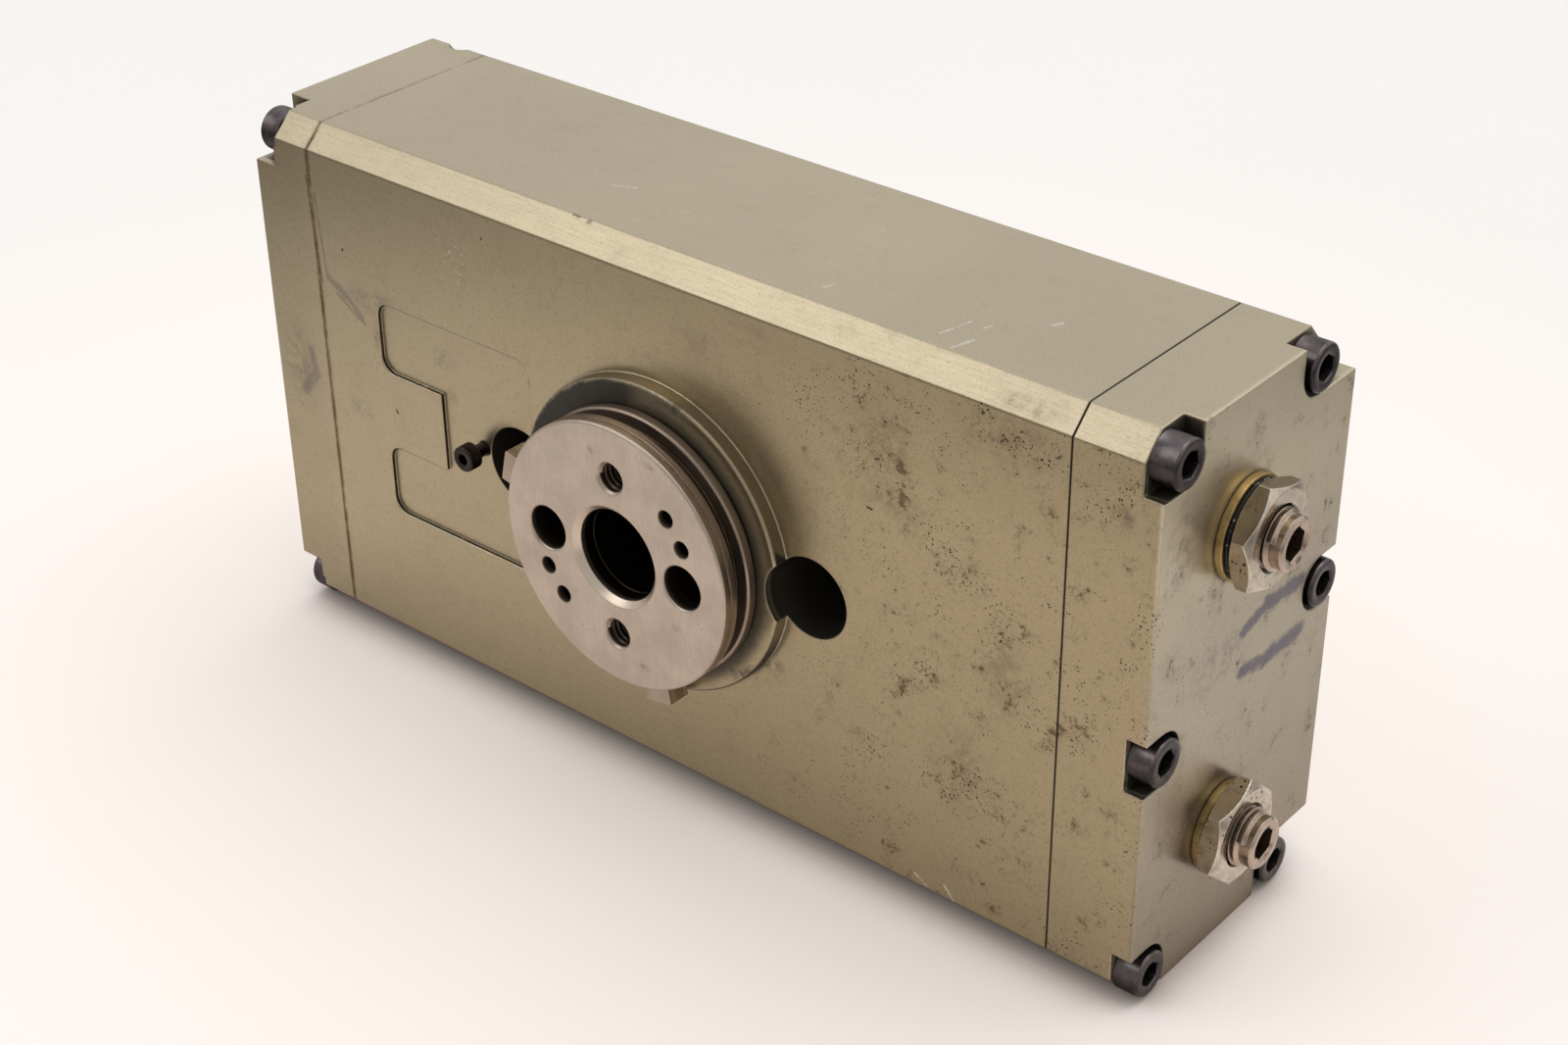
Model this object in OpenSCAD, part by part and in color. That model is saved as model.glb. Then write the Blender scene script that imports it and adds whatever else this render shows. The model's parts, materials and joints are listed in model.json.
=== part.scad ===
// Twin-rack pneumatic rotary actuator with an output flange and two end-stop screws.
// Millimetres, +Z up. The origin is the centre of the output flange's front face:
// X runs along the housing towards the stop screws, and -Y points out of the flange.

/* [Housing] */
// Length of the main body between the two end caps
body_len = 160; // [156:1:176]
// Depth of the body and caps, front face to back face
body_depth = 51.9; // [50:0.1:60]
// Height of the body and caps
body_height = 100; // [98:1:110]
// Chamfer along the two front edges
front_chamfer = 4; // [1:0.5:5]
// Chamfer along the two back edges, measured in the depth
back_chamfer_y = 8.4; // [2:0.2:9]
// Chamfer along the two back edges, measured in the height
back_chamfer_z = 9.3; // [2:0.1:10]
// Thickness of the left end cap
left_cap_t = 13.8; // [12:0.2:18]
// Thickness of the right end cap, which holds the stop screws
right_cap_t = 15.6; // [14:0.2:20]
// Height of the round boss round the output
boss_height = 2.8; // [1:0.1:5]
// Diameter of the boss at its foot
boss_d = 56.2; // [50:0.2:60]
// Chamfer of the boss and of small turned edges
edge_chamfer = 0.3; // [0.1:0.1:0.6]

/* [Recess and sensor bores] */
// Depth of the milled recess in the front face
recess_depth = 0.8; // [0.4:0.1:1.5]
// Left edge of the recess, left of the output axis
recess_left = 65.4; // [60:0.2:70]
// Right edge of the recess, left of the output axis
recess_right = 28.6; // [28.5:0.1:31]
// Height of the recess
recess_height = 42.1; // [38:0.1:46]
// Height of the land between the recess's two fingers
land_height = 15; // [12:0.5:18]
// End of the land, left of the output axis
land_end = 50.7; // [47:0.1:54]
// Radius of the cutter in the recess's corners
recess_corner_r = 3; // [1:0.5:5]
// Lift of the recess above the output axis
recess_lift = 0.4; // [0:0.1:1]
// Diameter of the two sensor bores
sensor_bore_d = 14.3; // [12:0.1:14.6]
// Depth of the sensor bores below the front face
sensor_bore_depth = 28; // [15:1:34]
// Distance of the sensor bores from the output axis
sensor_bore_offset = 32.5; // [32:0.1:33.5]

/* [Cylinders and racks] */
// Diameter of the two cylinder bores
cylinder_d = 32; // [30:0.5:33]
// Height of each cylinder axis above or below the output axis
cylinder_offset = 27; // [26.5:0.1:28]
// Depth of the cylinder axes below the front face
cylinder_inset = 22.6; // [22.4:0.1:24]
// Running clearance of the rack bar in its cylinder, on the radius
bar_clearance = 0.15; // [0.1:0.01:0.3]
// Running clearance of seals and wear bands, on the radius
band_clearance = 0.05; // [0.02:0.01:0.1]
// Gap between a rack's end and the cap at the end of the stroke
end_gap = 2.8; // [1:0.1:5]
// Width of the piston seals
seal_w = 3; // [2:0.1:4]
// Depth of the piston seal grooves
seal_depth = 2.4; // [1.5:0.1:3]
// Width of the wear bands
band_w = 6; // [4:0.5:8]
// Depth of the wear band grooves
band_depth = 1; // [0.6:0.1:1.5]
// Land between a rack's end and its seal, and between its seal and its wear band
ring_land = 3; // [2:0.5:4]

/* [Rack and pinion] */
// Module of the teeth
gear_module = 1.5; // [1.4:0.01:1.55]
// Number of teeth on the pinion
pinion_teeth = 24; // [22:2:24]
// Pressure angle of the teeth
pressure_angle = 20; // [18:1:22]
// Backlash between a pinion tooth and its rack space, at the pitch line
backlash = 0.16; // [0.1:0.01:0.3]
// Face width of the pinion
pinion_w = 20; // [14:0.5:20]
// Rotation of the output between its stops
swing = 90; // [60:5:90]

/* [Output shaft and flange] */
// Diameter of the output flange
flange_d = 48; // [46:0.2:50]
// Thickness of the output flange
flange_t = 7.45; // [7.2:0.05:9]
// Gap between the flange and the boss
flange_gap = 0.65; // [0.4:0.05:1]
// Distance from the flange face to the witness line on its rim
rim_line_y = 1.6; // [1:0.1:2.2]
// Distance from the flange face to the lug groove
lug_groove_y = 3.05; // [2.6:0.05:3.3]
// Width of the lug groove
lug_groove_w = 2.65; // [2:0.05:3]
// Depth of the lug groove
lug_groove_depth = 2.4; // [1.5:0.1:3]
// Diameter of the shaft in its bearings
shaft_d = 25; // [24:0.5:26]
// Diameter of the bore through the shaft
shaft_bore_d = 16; // [12:0.1:17]
// Diameter of the mouth of the shaft bore
mouth_d = 16.4; // [16:0.1:18]
// Depth of the mouth of the shaft bore
mouth_depth = 4; // [2:0.5:7]
// Pitch circle of the tapped holes and of the plain holes in the flange
hole_pcd = 29.6; // [29:0.1:31]
// Diameter of the tapped holes in the flange
tapped_d = 5; // [4.2:0.1:6]
// Depth of the tapped and plain holes in the flange
hole_depth = 6.5; // [5:0.1:6.8]
// Diameter of the plain holes in the flange
plain_d = 7.8; // [6:0.1:8]
// Diameter of the small pin holes in the flange
pin_d = 3; // [2:0.1:3]
// Pitch circle of the small pin holes
pin_pcd = 33.5; // [32:0.1:35]
// Half the angle between the two pin holes of a pair
pin_half_angle = 9.4; // [8:0.1:12]
// Angle of the pairs of pin holes above the X axis
pin_pair_angle = 35.3; // [30:0.1:40]

/* [Bearings] */
// Outer diameter of the shaft bearings
bearing_d = 37; // [36:0.5:38]
// Width of the shaft bearings
bearing_w = 7; // [5:0.5:7.5]
// Ball diameter
ball_d = 3.5; // [3:0.1:4]
// Balls in each bearing
ball_count = 15; // [9:1:17]
// Width of the shaft seal in front of the front bearing
shaft_seal_w = 2.1; // [1.5:0.1:2.6]

/* [Switch lugs] */
// Width of the switch lugs
lug_w = 5.7; // [4:0.1:7]
// Radius of the lugs' outer faces, from the output axis
lug_r = 28.1; // [26:0.1:30]
// Half the angle between the two lugs
lug_half_angle = 57.5; // [45:0.5:60]
// Direction midway between the two lugs
lug_mid_angle = 225; // [215:1:235]
// Diameter of the lugs' set screws
lug_screw_d = 3; // [2:0.5:3]

/* [End stops] */
// Thread diameter of the stop screws
stop_d = 10; // [8:0.5:12]
// How far the stop screws stand out of the right end cap
stop_reach = 8.7; // [8:0.1:12]
// Thread pitch of the stop screws
stop_pitch = 1; // [0.75:0.25:1.5]
// Diameter of the stop pads
stop_pad_d = 8; // [6:0.5:9]
// Thickness of the stop pads
stop_pad_t = 1.4; // [1:0.1:2]
// Gap between a stop pad and its rack at the end of the stroke
stop_gap = 0.2; // [0.1:0.05:0.5]
// Size of the hexagon sockets in the stop screws, across flats
stop_socket = 5; // [4:0.5:6]
// Size of the lock nuts, across flats
nut_af = 16; // [15:0.5:19]
// Thickness of the lock nuts
nut_t = 3.7; // [3:0.1:6]
// Diameter of the countersink in the lock nuts
nut_sink_d = 11; // [10.6:0.1:13]
// Turn of the upper lock nut
upper_nut_turn = 15.6; // [0:0.1:60]
// Turn of the lower lock nut
lower_nut_turn = 41.9; // [0:0.1:60]
// Diameter of the upper sealing washer
upper_washer_d = 17; // [15:0.5:20]
// Diameter of the lower sealing washer
lower_washer_d = 15.2; // [14:0.1:20]
// Thickness of the sealing washers
washer_t = 1.4; // [1:0.1:2]
// Thickness of the rubber ring under the upper lock nut
nut_seal_t = 0.7; // [0.4:0.1:1.2]

/* [Cap screws] */
// Diameter of the cap screws' shanks
screw_d = 5; // [4:0.5:5]
// Diameter of the cap screws' heads
head_d = 8; // [7.8:0.1:8.8]
// Height of the cap screws' heads
head_h = 4.5; // [4:0.1:5]
// Chamfer round the ends of the cap screws' heads
head_chamfer = 0.5; // [0.2:0.1:0.6]
// Size of the hexagon sockets in the cap screws, across flats
head_socket = 4; // [3:0.5:5]
// Length of the cap screws under their heads
screw_len = 24; // [20:1:30]
// Radius of the cutter of the screw notches and counterbores
notch_r = 4.7; // [4.6:0.05:5]
// Depth of the notches in the right cap
right_notch = 3.6; // [2:0.1:6]
// Depth of the open notches in the left cap
left_notch = 4.9; // [3:0.1:5.5]
// Depth of the left cap's screw seats
left_seat = 5.5; // [5.5:0.1:6]
// Distance of the corner screws from the top, bottom and front faces
corner_inset = 4.6; // [4.2:0.1:5]
// Distance of the back corner screws from the back face
back_screw_inset = 10.9; // [10:0.1:12]
// Distance of the right cap's middle screws from the middle height
mid_screw_z = 5; // [4:0.5:6]
// Distance of the right cap's middle screws from the front or back face
mid_screw_inset = 4.4; // [4.2:0.1:5]
// Distance of the left cap's middle screws from the front or back face
left_mid_inset = 9.5; // [8:0.5:11]

/* [Back side] */
// Diameter of the rear bearing cover
cover_d = 52; // [50:0.5:54]
// Thickness of the rear bearing cover's plate
cover_t = 4; // [3:0.5:5]
// Pitch circle of the rear cover's screws
cover_pcd = 46; // [45.5:0.1:47]
// Diameter of the rear cover's screws
cover_screw_d = 3; // [2.5:0.5:3]
// Length of the rear cover's screws under their heads
cover_screw_len = 8; // [5:0.5:9]
// Size of the hexagon sockets in the rear cover's screws, across flats
cover_socket = 2.5; // [2:0.5:3]
// Spacing of the mounting holes along the body
mount_x = 120; // [110:1:130]
// Spacing of the mounting holes up the body
mount_z = 76; // [74:0.5:78]
// Diameter of the mounting holes' tapping drill
mount_d = 6.8; // [5:0.1:7]
// Depth of the mounting holes
mount_depth = 12; // [8:0.5:13]
// Diameter of the two dowel holes
dowel_d = 6; // [4:0.5:8]
// Depth of the dowel holes
dowel_depth = 8; // [6:0.5:12]
// Tapping diameter of the air ports
port_d = 8.6; // [8:0.1:9]
// Depth of the air ports
port_depth = 9; // [8:0.5:10]
// Diameter of the air passages
passage_d = 3; // [2:0.5:4]

/* [Sensor clamp screw] */
// Distance of the clamp screw left of the output axis
clamp_x = 41.4; // [41.4:0.1:43]
// Height of the clamp screw above the output axis
clamp_z = 0.4; // [0:0.1:2]
// Diameter of the clamp screw
clamp_d = 2.5; // [2:0.5:3]
// Diameter of the clamp screw's head
clamp_head_d = 4.7; // [4.4:0.1:5.6]
// Height of the clamp screw's head
clamp_head_h = 2.5; // [2:0.1:3]
// How far the clamp screw's head stands out of the front face
clamp_reach = 4.5; // [4:0.1:7]
// Depth of the clamp screw's hole
clamp_depth = 9; // [6:0.5:12]

/* [Hidden] */
$fn = 96;

OLIVE = "#a89c79";
STEEL = "#b9b0a6";
DARK_STEEL = "#6f6862";
BLACK_OXIDE = "#2b2930";
NICKEL = "#b8ada2";
ZINC = "#b3a35c";
BRASS = "#b08d4a";
RUBBER = "#1d1c1b";
BRONZE = "#8d6d45";

eps = 0.01;
fit = 0.02;

// Depths, from the flange face at y = 0 backwards
boss_y = flange_t + flange_gap;
front_y = boss_y + boss_height;
back_y = front_y + body_depth;
cylinder_y = front_y + cylinder_inset;

// Along the housing
body_x = body_len / 2;
left_x = -body_x - left_cap_t;
right_x = body_x + right_cap_t;
half_h = body_height / 2;

// Rack and pinion
pitch = PI * gear_module;
pitch_r = gear_module * pinion_teeth / 2;
addendum = gear_module;
dedendum = 1.25 * gear_module;
tip_r = pitch_r + addendum;
root_r = pitch_r - dedendum;
base_r = pitch_r * cos(pressure_angle);
stroke = pitch_r * swing * PI / 180;
rack_len = body_len - stroke - 2 * end_gap;
bar_r = cylinder_d / 2 - bar_clearance;
band_r = cylinder_d / 2 - band_clearance;
cavity_r = tip_r + 1;
flat_half = stroke / 2 + cavity_r - 2;

// Bearings and what stands beside them
shaft_r = shaft_d / 2;
bearing_r = bearing_d / 2;
ball_ring_r = (shaft_r + bearing_r) / 2;
front_bearing_y = boss_y + shaft_seal_w + 0.1;
shoulder_w = 1;
shoulder_r = bearing_r - 1.5;
sleeve_r = shaft_r + 2;
cover_lip = 1.9;
rear_bearing_y = back_y - cover_t - cover_lip - bearing_w;
spigot_y = rear_bearing_y - 1.2;
spigot_r = cavity_r - fit;
shaft_end_y = back_y - 1;
clip_w = 1.2;
clip_gap = 3;
clip_depth = 0.6;

// Key between shaft and pinion
key_w = 5;
key_h = 2.6;
key_r = shaft_r - 1.3;
key_margin = 3;
key_len = pinion_w - key_margin;

// Screws of the two caps: [y, z, sides that the notch opens to, as signs of y and z]
corner_z = half_h - corner_inset;
corner_y = front_y + corner_inset;
rear_y = back_y - back_screw_inset;
right_screws = [
    [corner_y, corner_z, -1, 1], [corner_y, -corner_z, -1, -1],
    [rear_y, corner_z, 1, 1], [rear_y, -corner_z, 1, -1],
    [front_y + mid_screw_inset, -mid_screw_z, -1, 0],
    [back_y - mid_screw_inset, mid_screw_z, 1, 0]];
left_screws = [
    [corner_y, corner_z, -1, 1], [corner_y, -corner_z, -1, -1],
    [rear_y, corner_z - 1, 0, 0], [rear_y, -corner_z + 1, 0, 0],
    [front_y + left_mid_inset, 0, 0, 0], [back_y - left_mid_inset, 0, 0, 0]];

// ---- shared shapes ----

// Puts a shape drawn along +Z on a line along +Y at (x, y, z)
module along_y(x, y, z) translate([x, y, z]) rotate([-90, 0, 0]) children();

// Puts a shape drawn along +Z on a line along +X at (x, y, z)
module along_x(x, y, z) translate([x, y, z]) rotate([0, 90, 0]) children();

// Chamfered section of the housing, from x0 to x1
module housing_block(x0, x1)
    translate([x0, 0, 0]) rotate([90, 0, 90]) linear_extrude(x1 - x0) polygon([
        [front_y + front_chamfer, half_h], [back_y - back_chamfer_y, half_h],
        [back_y, half_h - back_chamfer_z], [back_y, -half_h + back_chamfer_z],
        [back_y - back_chamfer_y, -half_h], [front_y + front_chamfer, -half_h],
        [front_y, -half_h + front_chamfer], [front_y, half_h - front_chamfer]]);

// Ring with a rectangular section along +Z
module ring(r_in, r_out, h) difference() {
    cylinder(r = r_out, h = h);
    translate([0, 0, -1]) cylinder(r = r_in, h = h + 2);
}

// Hexagon prism along +Z, of size af across flats
module hexagon(af, h) cylinder(r = af / 2 / cos(30), h = h, $fn = 6);

// Socket head screw along +Z: its shank goes down from z = 0 and its head stands on it
module cap_screw(d, length, dk, k, socket, chamfer = edge_chamfer) difference() {
    union() {
        translate([0, 0, -length]) cylinder(d = d, h = length + eps);
        rotate_extrude() polygon([
            [0, 0], [dk / 2, 0], [dk / 2, k - chamfer], [dk / 2 - chamfer, k], [0, k]]);
    }
    translate([0, 0, k / 2]) hexagon(socket, k);
}

// Place of one screw of a cap; side is 1 at the right end and -1 at the left
module at_screw(s, side, seat_x) translate([seat_x, s[0], s[1]]) rotate([0, 90 * side, 0]) children();

// Seat and notch round a screw head, the notch open towards the signs in the screw's entry
module screw_notch(s, side, end_x, seat, depth) {
    reach = notch_r + corner_inset + back_chamfer_y;
    x0 = side > 0 ? end_x - depth : end_x - 1;
    at_screw(s, side, end_x - side * seat) cylinder(r = notch_r, h = seat + 1);
    if (s[2] != 0) {
        z_low = s[3] > 0 ? -notch_r : s[3] < 0 ? -reach : -notch_r;
        z_high = s[3] > 0 ? reach : s[3] < 0 ? notch_r : notch_r;
        translate([x0, s[0] + (s[2] < 0 ? -reach : 0), s[1] + z_low])
            cube([depth + 1, reach, z_high - z_low]);
    }
    if (s[3] != 0)
        translate([x0, s[0] - notch_r, s[1] + (s[3] < 0 ? -reach : 0)])
            cube([depth + 1, 2 * notch_r, reach]);
}

// ---- housing ----

module recess_outline() {
    w = recess_left - recess_right;
    h = recess_height;
    r = recess_corner_r;
    finger = (recess_height - land_height) / 2;
    module rounded(x, z, length, height) {
        translate([x + r, z]) square([length - 2 * r, height]);
        translate([x, z + r]) square([length, height - 2 * r]);
        for (cx = [x + r, x + length - r], cz = [z + r, z + height - r])
            translate([cx, cz]) circle(r = r);
    }
    translate([-recess_left, recess_lift - h / 2]) {
        rounded(0, 0, w, finger);
        rounded(0, h - finger, w, finger);
        translate([recess_left - land_end, finger - r]) square([r, land_height + 2 * r]);
        rounded(recess_left - land_end, 0, land_end - recess_right, h);
        translate([recess_left - land_end, 0]) square([r, h]);
    }
}

module main_body() color(OLIVE) difference() {
    union() {
        housing_block(-body_x, body_x);
        along_y(0, boss_y, 0) rotate_extrude() polygon([
            [0, 0], [boss_d / 2 - edge_chamfer, 0], [boss_d / 2, edge_chamfer],
            [boss_d / 2, boss_height + 1], [0, boss_height + 1]]);
    }
    // Shallow recess, which leaves the boss standing
    difference() {
        translate([0, front_y + recess_depth, 0]) rotate([90, 0, 0])
            linear_extrude(recess_depth + 1) recess_outline();
        along_y(0, boss_y - 1, 0) cylinder(d = boss_d, h = boss_height + recess_depth + 2);
    }
    // Cylinders
    for (side = [1, -1])
        along_x(-body_x - 1, cylinder_y, side * cylinder_offset)
            cylinder(d = cylinder_d, h = body_len + 2);
    // Seat of the shaft seal and front bearing, pinion cavity and rear cover
    along_y(0, boss_y - 1, 0) cylinder(r = bearing_r, h = front_bearing_y + bearing_w - boss_y + 1);
    along_y(0, boss_y, 0) cylinder(r = shoulder_r, h = body_depth);
    along_y(0, front_bearing_y + bearing_w + shoulder_w, 0) cylinder(r = cavity_r, h = body_depth);
    along_y(0, back_y - cover_t, 0) cylinder(d = cover_d, h = cover_t + 1);
    for (a = [45:90:315])
        along_y(cover_pcd / 2 * cos(a), back_y - cover_head_h - cover_screw_len - 1,
            cover_pcd / 2 * sin(a))
            cylinder(r = cover_screw_d / 2 + fit, h = cover_screw_len + 2);
    // Sensor bores and the clamp screw's hole
    for (side = [1, -1])
        along_y(side * sensor_bore_offset, boss_y - 1, 0)
            cylinder(d = sensor_bore_d, h = boss_height + 1 + sensor_bore_depth);
    along_y(-clamp_x, front_y - 1, clamp_z) cylinder(r = clamp_d / 2 + fit, h = clamp_depth + 1);
    // Threads of the cap screws
    for (s = right_screws)
        along_x(body_x - (screw_len - right_cap_t + right_notch + 2), s[0], s[1])
            cylinder(r = screw_d / 2 + fit, h = screw_len);
    for (s = left_screws)
        along_x(-body_x + (screw_len - left_cap_t + left_seat + 2), s[0], s[1])
            rotate([180, 0, 0]) cylinder(r = screw_d / 2 + fit, h = screw_len);
    // Grooves of the cap seals
    for (end = [1, -1], side = [1, -1])
        along_x(end * body_x - (end > 0 ? seal_groove_d : 1), cylinder_y, side * cylinder_offset)
            ring(seal_ring_r - seal_groove_w / 2, seal_ring_r + seal_groove_w / 2,
                seal_groove_d + 1);
    // Mounting holes and dowel holes in the back
    for (x = [-mount_x / 2, mount_x / 2]) {
        for (z = [-mount_z / 2, mount_z / 2])
            along_y(x, back_y - mount_depth, z) cylinder(d = mount_d, h = mount_depth + 1);
        along_y(x, back_y - dowel_depth, 0) cylinder(d = dowel_d, h = dowel_depth + 1);
    }
}

// Cap seals lie in grooves of the body's end faces
seal_ring_r = cylinder_d / 2 + 1.9;
seal_groove_w = 1.6;
seal_groove_d = 1.5;

module cap_seal_rings() color(RUBBER)
    for (end = [1, -1], side = [1, -1])
        along_x(end * (body_x - seal_groove_d / 2), cylinder_y, side * cylinder_offset)
            rotate_extrude() translate([seal_ring_r, 0])
                circle(r = seal_groove_d / 2 - fit, $fn = 32);

// Air port in a cap's back face, with its passage to the cylinder
module air_port(x_mid, end, side) {
    port_z = side * cylinder_offset;
    along_y(x_mid, back_y - port_depth, port_z) cylinder(d = port_d, h = port_depth + 1);
    along_x(end > 0 ? body_x - 1 : x_mid, cylinder_y + cylinder_d / 2 - passage_d, port_z)
        cylinder(d = passage_d, h = abs(x_mid) - body_x + 1);
    along_y(x_mid, cylinder_y + cylinder_d / 2 - passage_d, port_z)
        cylinder(d = passage_d, h = back_y - cylinder_y - cylinder_d / 2);
}

module left_end_cap() color(OLIVE) difference() {
    housing_block(left_x, -body_x);
    for (s = left_screws) {
        screw_notch(s, -1, left_x, left_seat, left_notch);
        at_screw(s, 1, left_x) cylinder(d = screw_d + 0.5, h = left_cap_t + 1);
    }
    for (side = [1, -1]) air_port((left_x - body_x) / 2, -1, side);
    // Half-round slot for prying the cap off
    translate([(left_x - body_x) / 2, back_y - back_chamfer_y + pry_slot_inset,
        half_h - back_chamfer_z])
        cylinder(r = pry_slot_r, h = back_chamfer_z + 1);
}

pry_slot_r = 2.7;
pry_slot_inset = 1.4;

module right_end_cap() color(OLIVE) difference() {
    housing_block(body_x, right_x);
    for (s = right_screws) {
        screw_notch(s, 1, right_x, right_notch, right_notch);
        at_screw(s, 1, body_x - 1) cylinder(d = screw_d + 0.5, h = right_cap_t + 1);
    }
    for (side = [1, -1]) {
        air_port((right_x + body_x) / 2, 1, side);
        along_x(body_x - 1, cylinder_y, side * cylinder_offset)
            cylinder(d = stop_d, h = right_cap_t + 2);
    }
}

module left_cap_screws() color(BLACK_OXIDE)
    for (s = left_screws)
        at_screw(s, -1, left_x + left_seat)
            cap_screw(screw_d, screw_len, head_d, head_h, head_socket, head_chamfer);

module right_cap_screws() color(BLACK_OXIDE)
    for (s = right_screws)
        at_screw(s, 1, right_x - right_notch)
            cap_screw(screw_d, screw_len, head_d, head_h, head_socket, head_chamfer);

// ---- output shaft ----

module output_shaft() color(STEEL) difference() {
    along_y(0, 0, 0) rotate_extrude() polygon([
        [mouth_d / 2 + edge_chamfer, 0], [flange_d / 2 - edge_chamfer, 0],
        [flange_d / 2, edge_chamfer],
        [flange_d / 2, rim_line_y - line_w / 2], [flange_d / 2 - line_w, rim_line_y],
        [flange_d / 2, rim_line_y + line_w / 2],
        [flange_d / 2, lug_groove_y], [lug_floor_r, lug_groove_y],
        [lug_floor_r, lug_groove_y + lug_groove_w],
        [flange_d / 2 - edge_chamfer, lug_groove_y + lug_groove_w],
        [flange_d / 2, lug_groove_y + lug_groove_w + edge_chamfer],
        [flange_d / 2, flange_t], [sleeve_r, flange_t], [sleeve_r, front_bearing_y],
        [shaft_r, front_bearing_y], [shaft_r, clip_y], [shaft_r - clip_depth, clip_y],
        [shaft_r - clip_depth, clip_y + clip_w], [shaft_r, clip_y + clip_w],
        [shaft_r, shaft_end_y - edge_chamfer], [shaft_r - edge_chamfer, shaft_end_y],
        [shaft_bore_d / 2, shaft_end_y], [shaft_bore_d / 2, mouth_depth],
        [mouth_d / 2, mouth_depth], [mouth_d / 2, edge_chamfer]]);
    for (side = [1, -1]) {
        flange_hole(tapped_d, 0.5, hole_pcd / 2, 90 * side);
        flange_hole(plain_d, edge_chamfer, hole_pcd / 2, 90 - 90 * side);
        for (turn = [1, -1])
            flange_hole(pin_d, 0.1, pin_pcd / 2,
                pin_pair_angle + 90 - 90 * side + turn * pin_half_angle);
    }
    // Keyway
    translate([-key_w / 2 - fit, cylinder_y - key_len / 2 - fit, key_r - fit])
        cube([key_w + 2 * fit, key_len + 2 * fit, key_h]);
}

// Countersunk hole in the flange, at an angle from +X towards +Z
module flange_hole(d, sink, r, angle) along_y(r * cos(angle), 0, r * sin(angle))
    rotate_extrude() polygon([
        [0, -1], [d / 2 + sink, -1], [d / 2 + sink, 0], [d / 2, sink],
        [d / 2, hole_depth], [0, hole_depth]]);

line_w = 0.25;
lug_floor_r = flange_d / 2 - lug_groove_depth;
clip_y = rear_bearing_y + bearing_w;

module drive_key() color(DARK_STEEL)
    translate([-key_w / 2, cylinder_y - key_len / 2, key_r]) cube([key_w, key_len, key_h]);

// Points of one involute flank from radius r0 to tip_r, thinned by the backlash
function inv(a) = tan(a) * 180 / PI - a;
half_tooth = 90 / pinion_teeth - backlash / 2 / pitch_r * 180 / PI;
function flank(n) = [for (i = [0:n])
    let (r = max(base_r, root_r) + (tip_r - max(base_r, root_r)) * i / n,
        a = acos(min(1, base_r / r)),
        half = half_tooth + inv(pressure_angle) - inv(a))
    [r, half]];
flank_steps = 5;
function tooth(mid) = let (f = flank(flank_steps)) concat(
    [[root_r, mid - f[0][1]]],
    [for (i = [0:flank_steps]) [f[i][0], mid - f[i][1]]],
    [for (i = [flank_steps:-1:0]) [f[i][0], mid + f[i][1]]],
    [[root_r, mid + f[0][1]]]);

module pinion() color(STEEL) difference() {
    translate([0, cylinder_y + pinion_w / 2, 0]) rotate([90, 0, 0]) linear_extrude(pinion_w)
        polygon([for (k = [0:pinion_teeth - 1], q = tooth(90 + k * 360 / pinion_teeth))
            [q[0] * cos(q[1]), q[0] * sin(q[1])]]);
    along_y(0, cylinder_y - pinion_w, 0) cylinder(r = shaft_r + fit / 2, h = 2 * pinion_w);
    translate([-key_w / 2 - fit, cylinder_y - pinion_w, 0])
        cube([key_w + 2 * fit, 2 * pinion_w, key_r + key_h + fit]);
}

module front_spacer() color(DARK_STEEL)
    along_y(0, front_bearing_y + bearing_w, 0)
        ring(shaft_r + fit / 2, sleeve_r - 0.2,
            cylinder_y - pinion_w / 2 - front_bearing_y - bearing_w);

module rear_spacer() color(DARK_STEEL)
    along_y(0, cylinder_y + pinion_w / 2, 0)
        ring(shaft_r + fit / 2, sleeve_r - 0.2, rear_bearing_y - cylinder_y - pinion_w / 2);

module shaft_retaining_ring() color(DARK_STEEL) difference() {
    along_y(0, clip_y, 0) ring(shaft_r - clip_depth + fit, shaft_r + 1.6, clip_w - fit);
    translate([-clip_gap / 2, clip_y - 1, -shaft_r - clip_gap])
        cube([clip_gap, clip_w + 2, 2 * clip_gap]);
}

// ---- bearings ----

module race(r_in, r_out) difference() {
    ring(r_in, r_out, bearing_w);
    translate([0, 0, bearing_w / 2]) rotate_extrude() translate([ball_ring_r, 0])
        circle(d = ball_d + 0.06, $fn = 48);
}

module bearing_inner(y) color(STEEL) along_y(0, y, 0) race(shaft_r + fit / 2, ball_ring_r - 1.1);

module bearing_outer(y) color(STEEL) along_y(0, y, 0) race(ball_ring_r + 1.1, bearing_r - fit / 2);

module bearing_balls(y) color(NICKEL)
    for (k = [0:ball_count - 1])
        along_y(0, y + bearing_w / 2, 0) rotate([0, 0, k * 360 / ball_count])
            translate([ball_ring_r, 0, 0]) sphere(d = ball_d, $fn = 32);

module bearing_cage(y) color(BRASS) along_y(0, y + bearing_w / 2, 0) difference() {
    translate([0, 0, -cage_w / 2]) ring(ball_ring_r - 0.5, ball_ring_r + 0.5, cage_w);
    for (k = [0:ball_count - 1]) rotate([0, 90, k * 360 / ball_count])
        cylinder(d = ball_d + 0.1, h = bearing_r, $fn = 32);
}

cage_w = ball_d + 1.6;

module front_bearing_inner_ring() bearing_inner(front_bearing_y);
module front_bearing_outer_ring() bearing_outer(front_bearing_y);
module front_bearing_balls() bearing_balls(front_bearing_y);
module front_bearing_cage() bearing_cage(front_bearing_y);
module rear_bearing_inner_ring() bearing_inner(rear_bearing_y);
module rear_bearing_outer_ring() bearing_outer(rear_bearing_y);
module rear_bearing_balls() bearing_balls(rear_bearing_y);
module rear_bearing_cage() bearing_cage(rear_bearing_y);

module shaft_seal() color(RUBBER)
    along_y(0, boss_y, 0) ring(sleeve_r + 0.08, bearing_r - fit / 2, shaft_seal_w);

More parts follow.
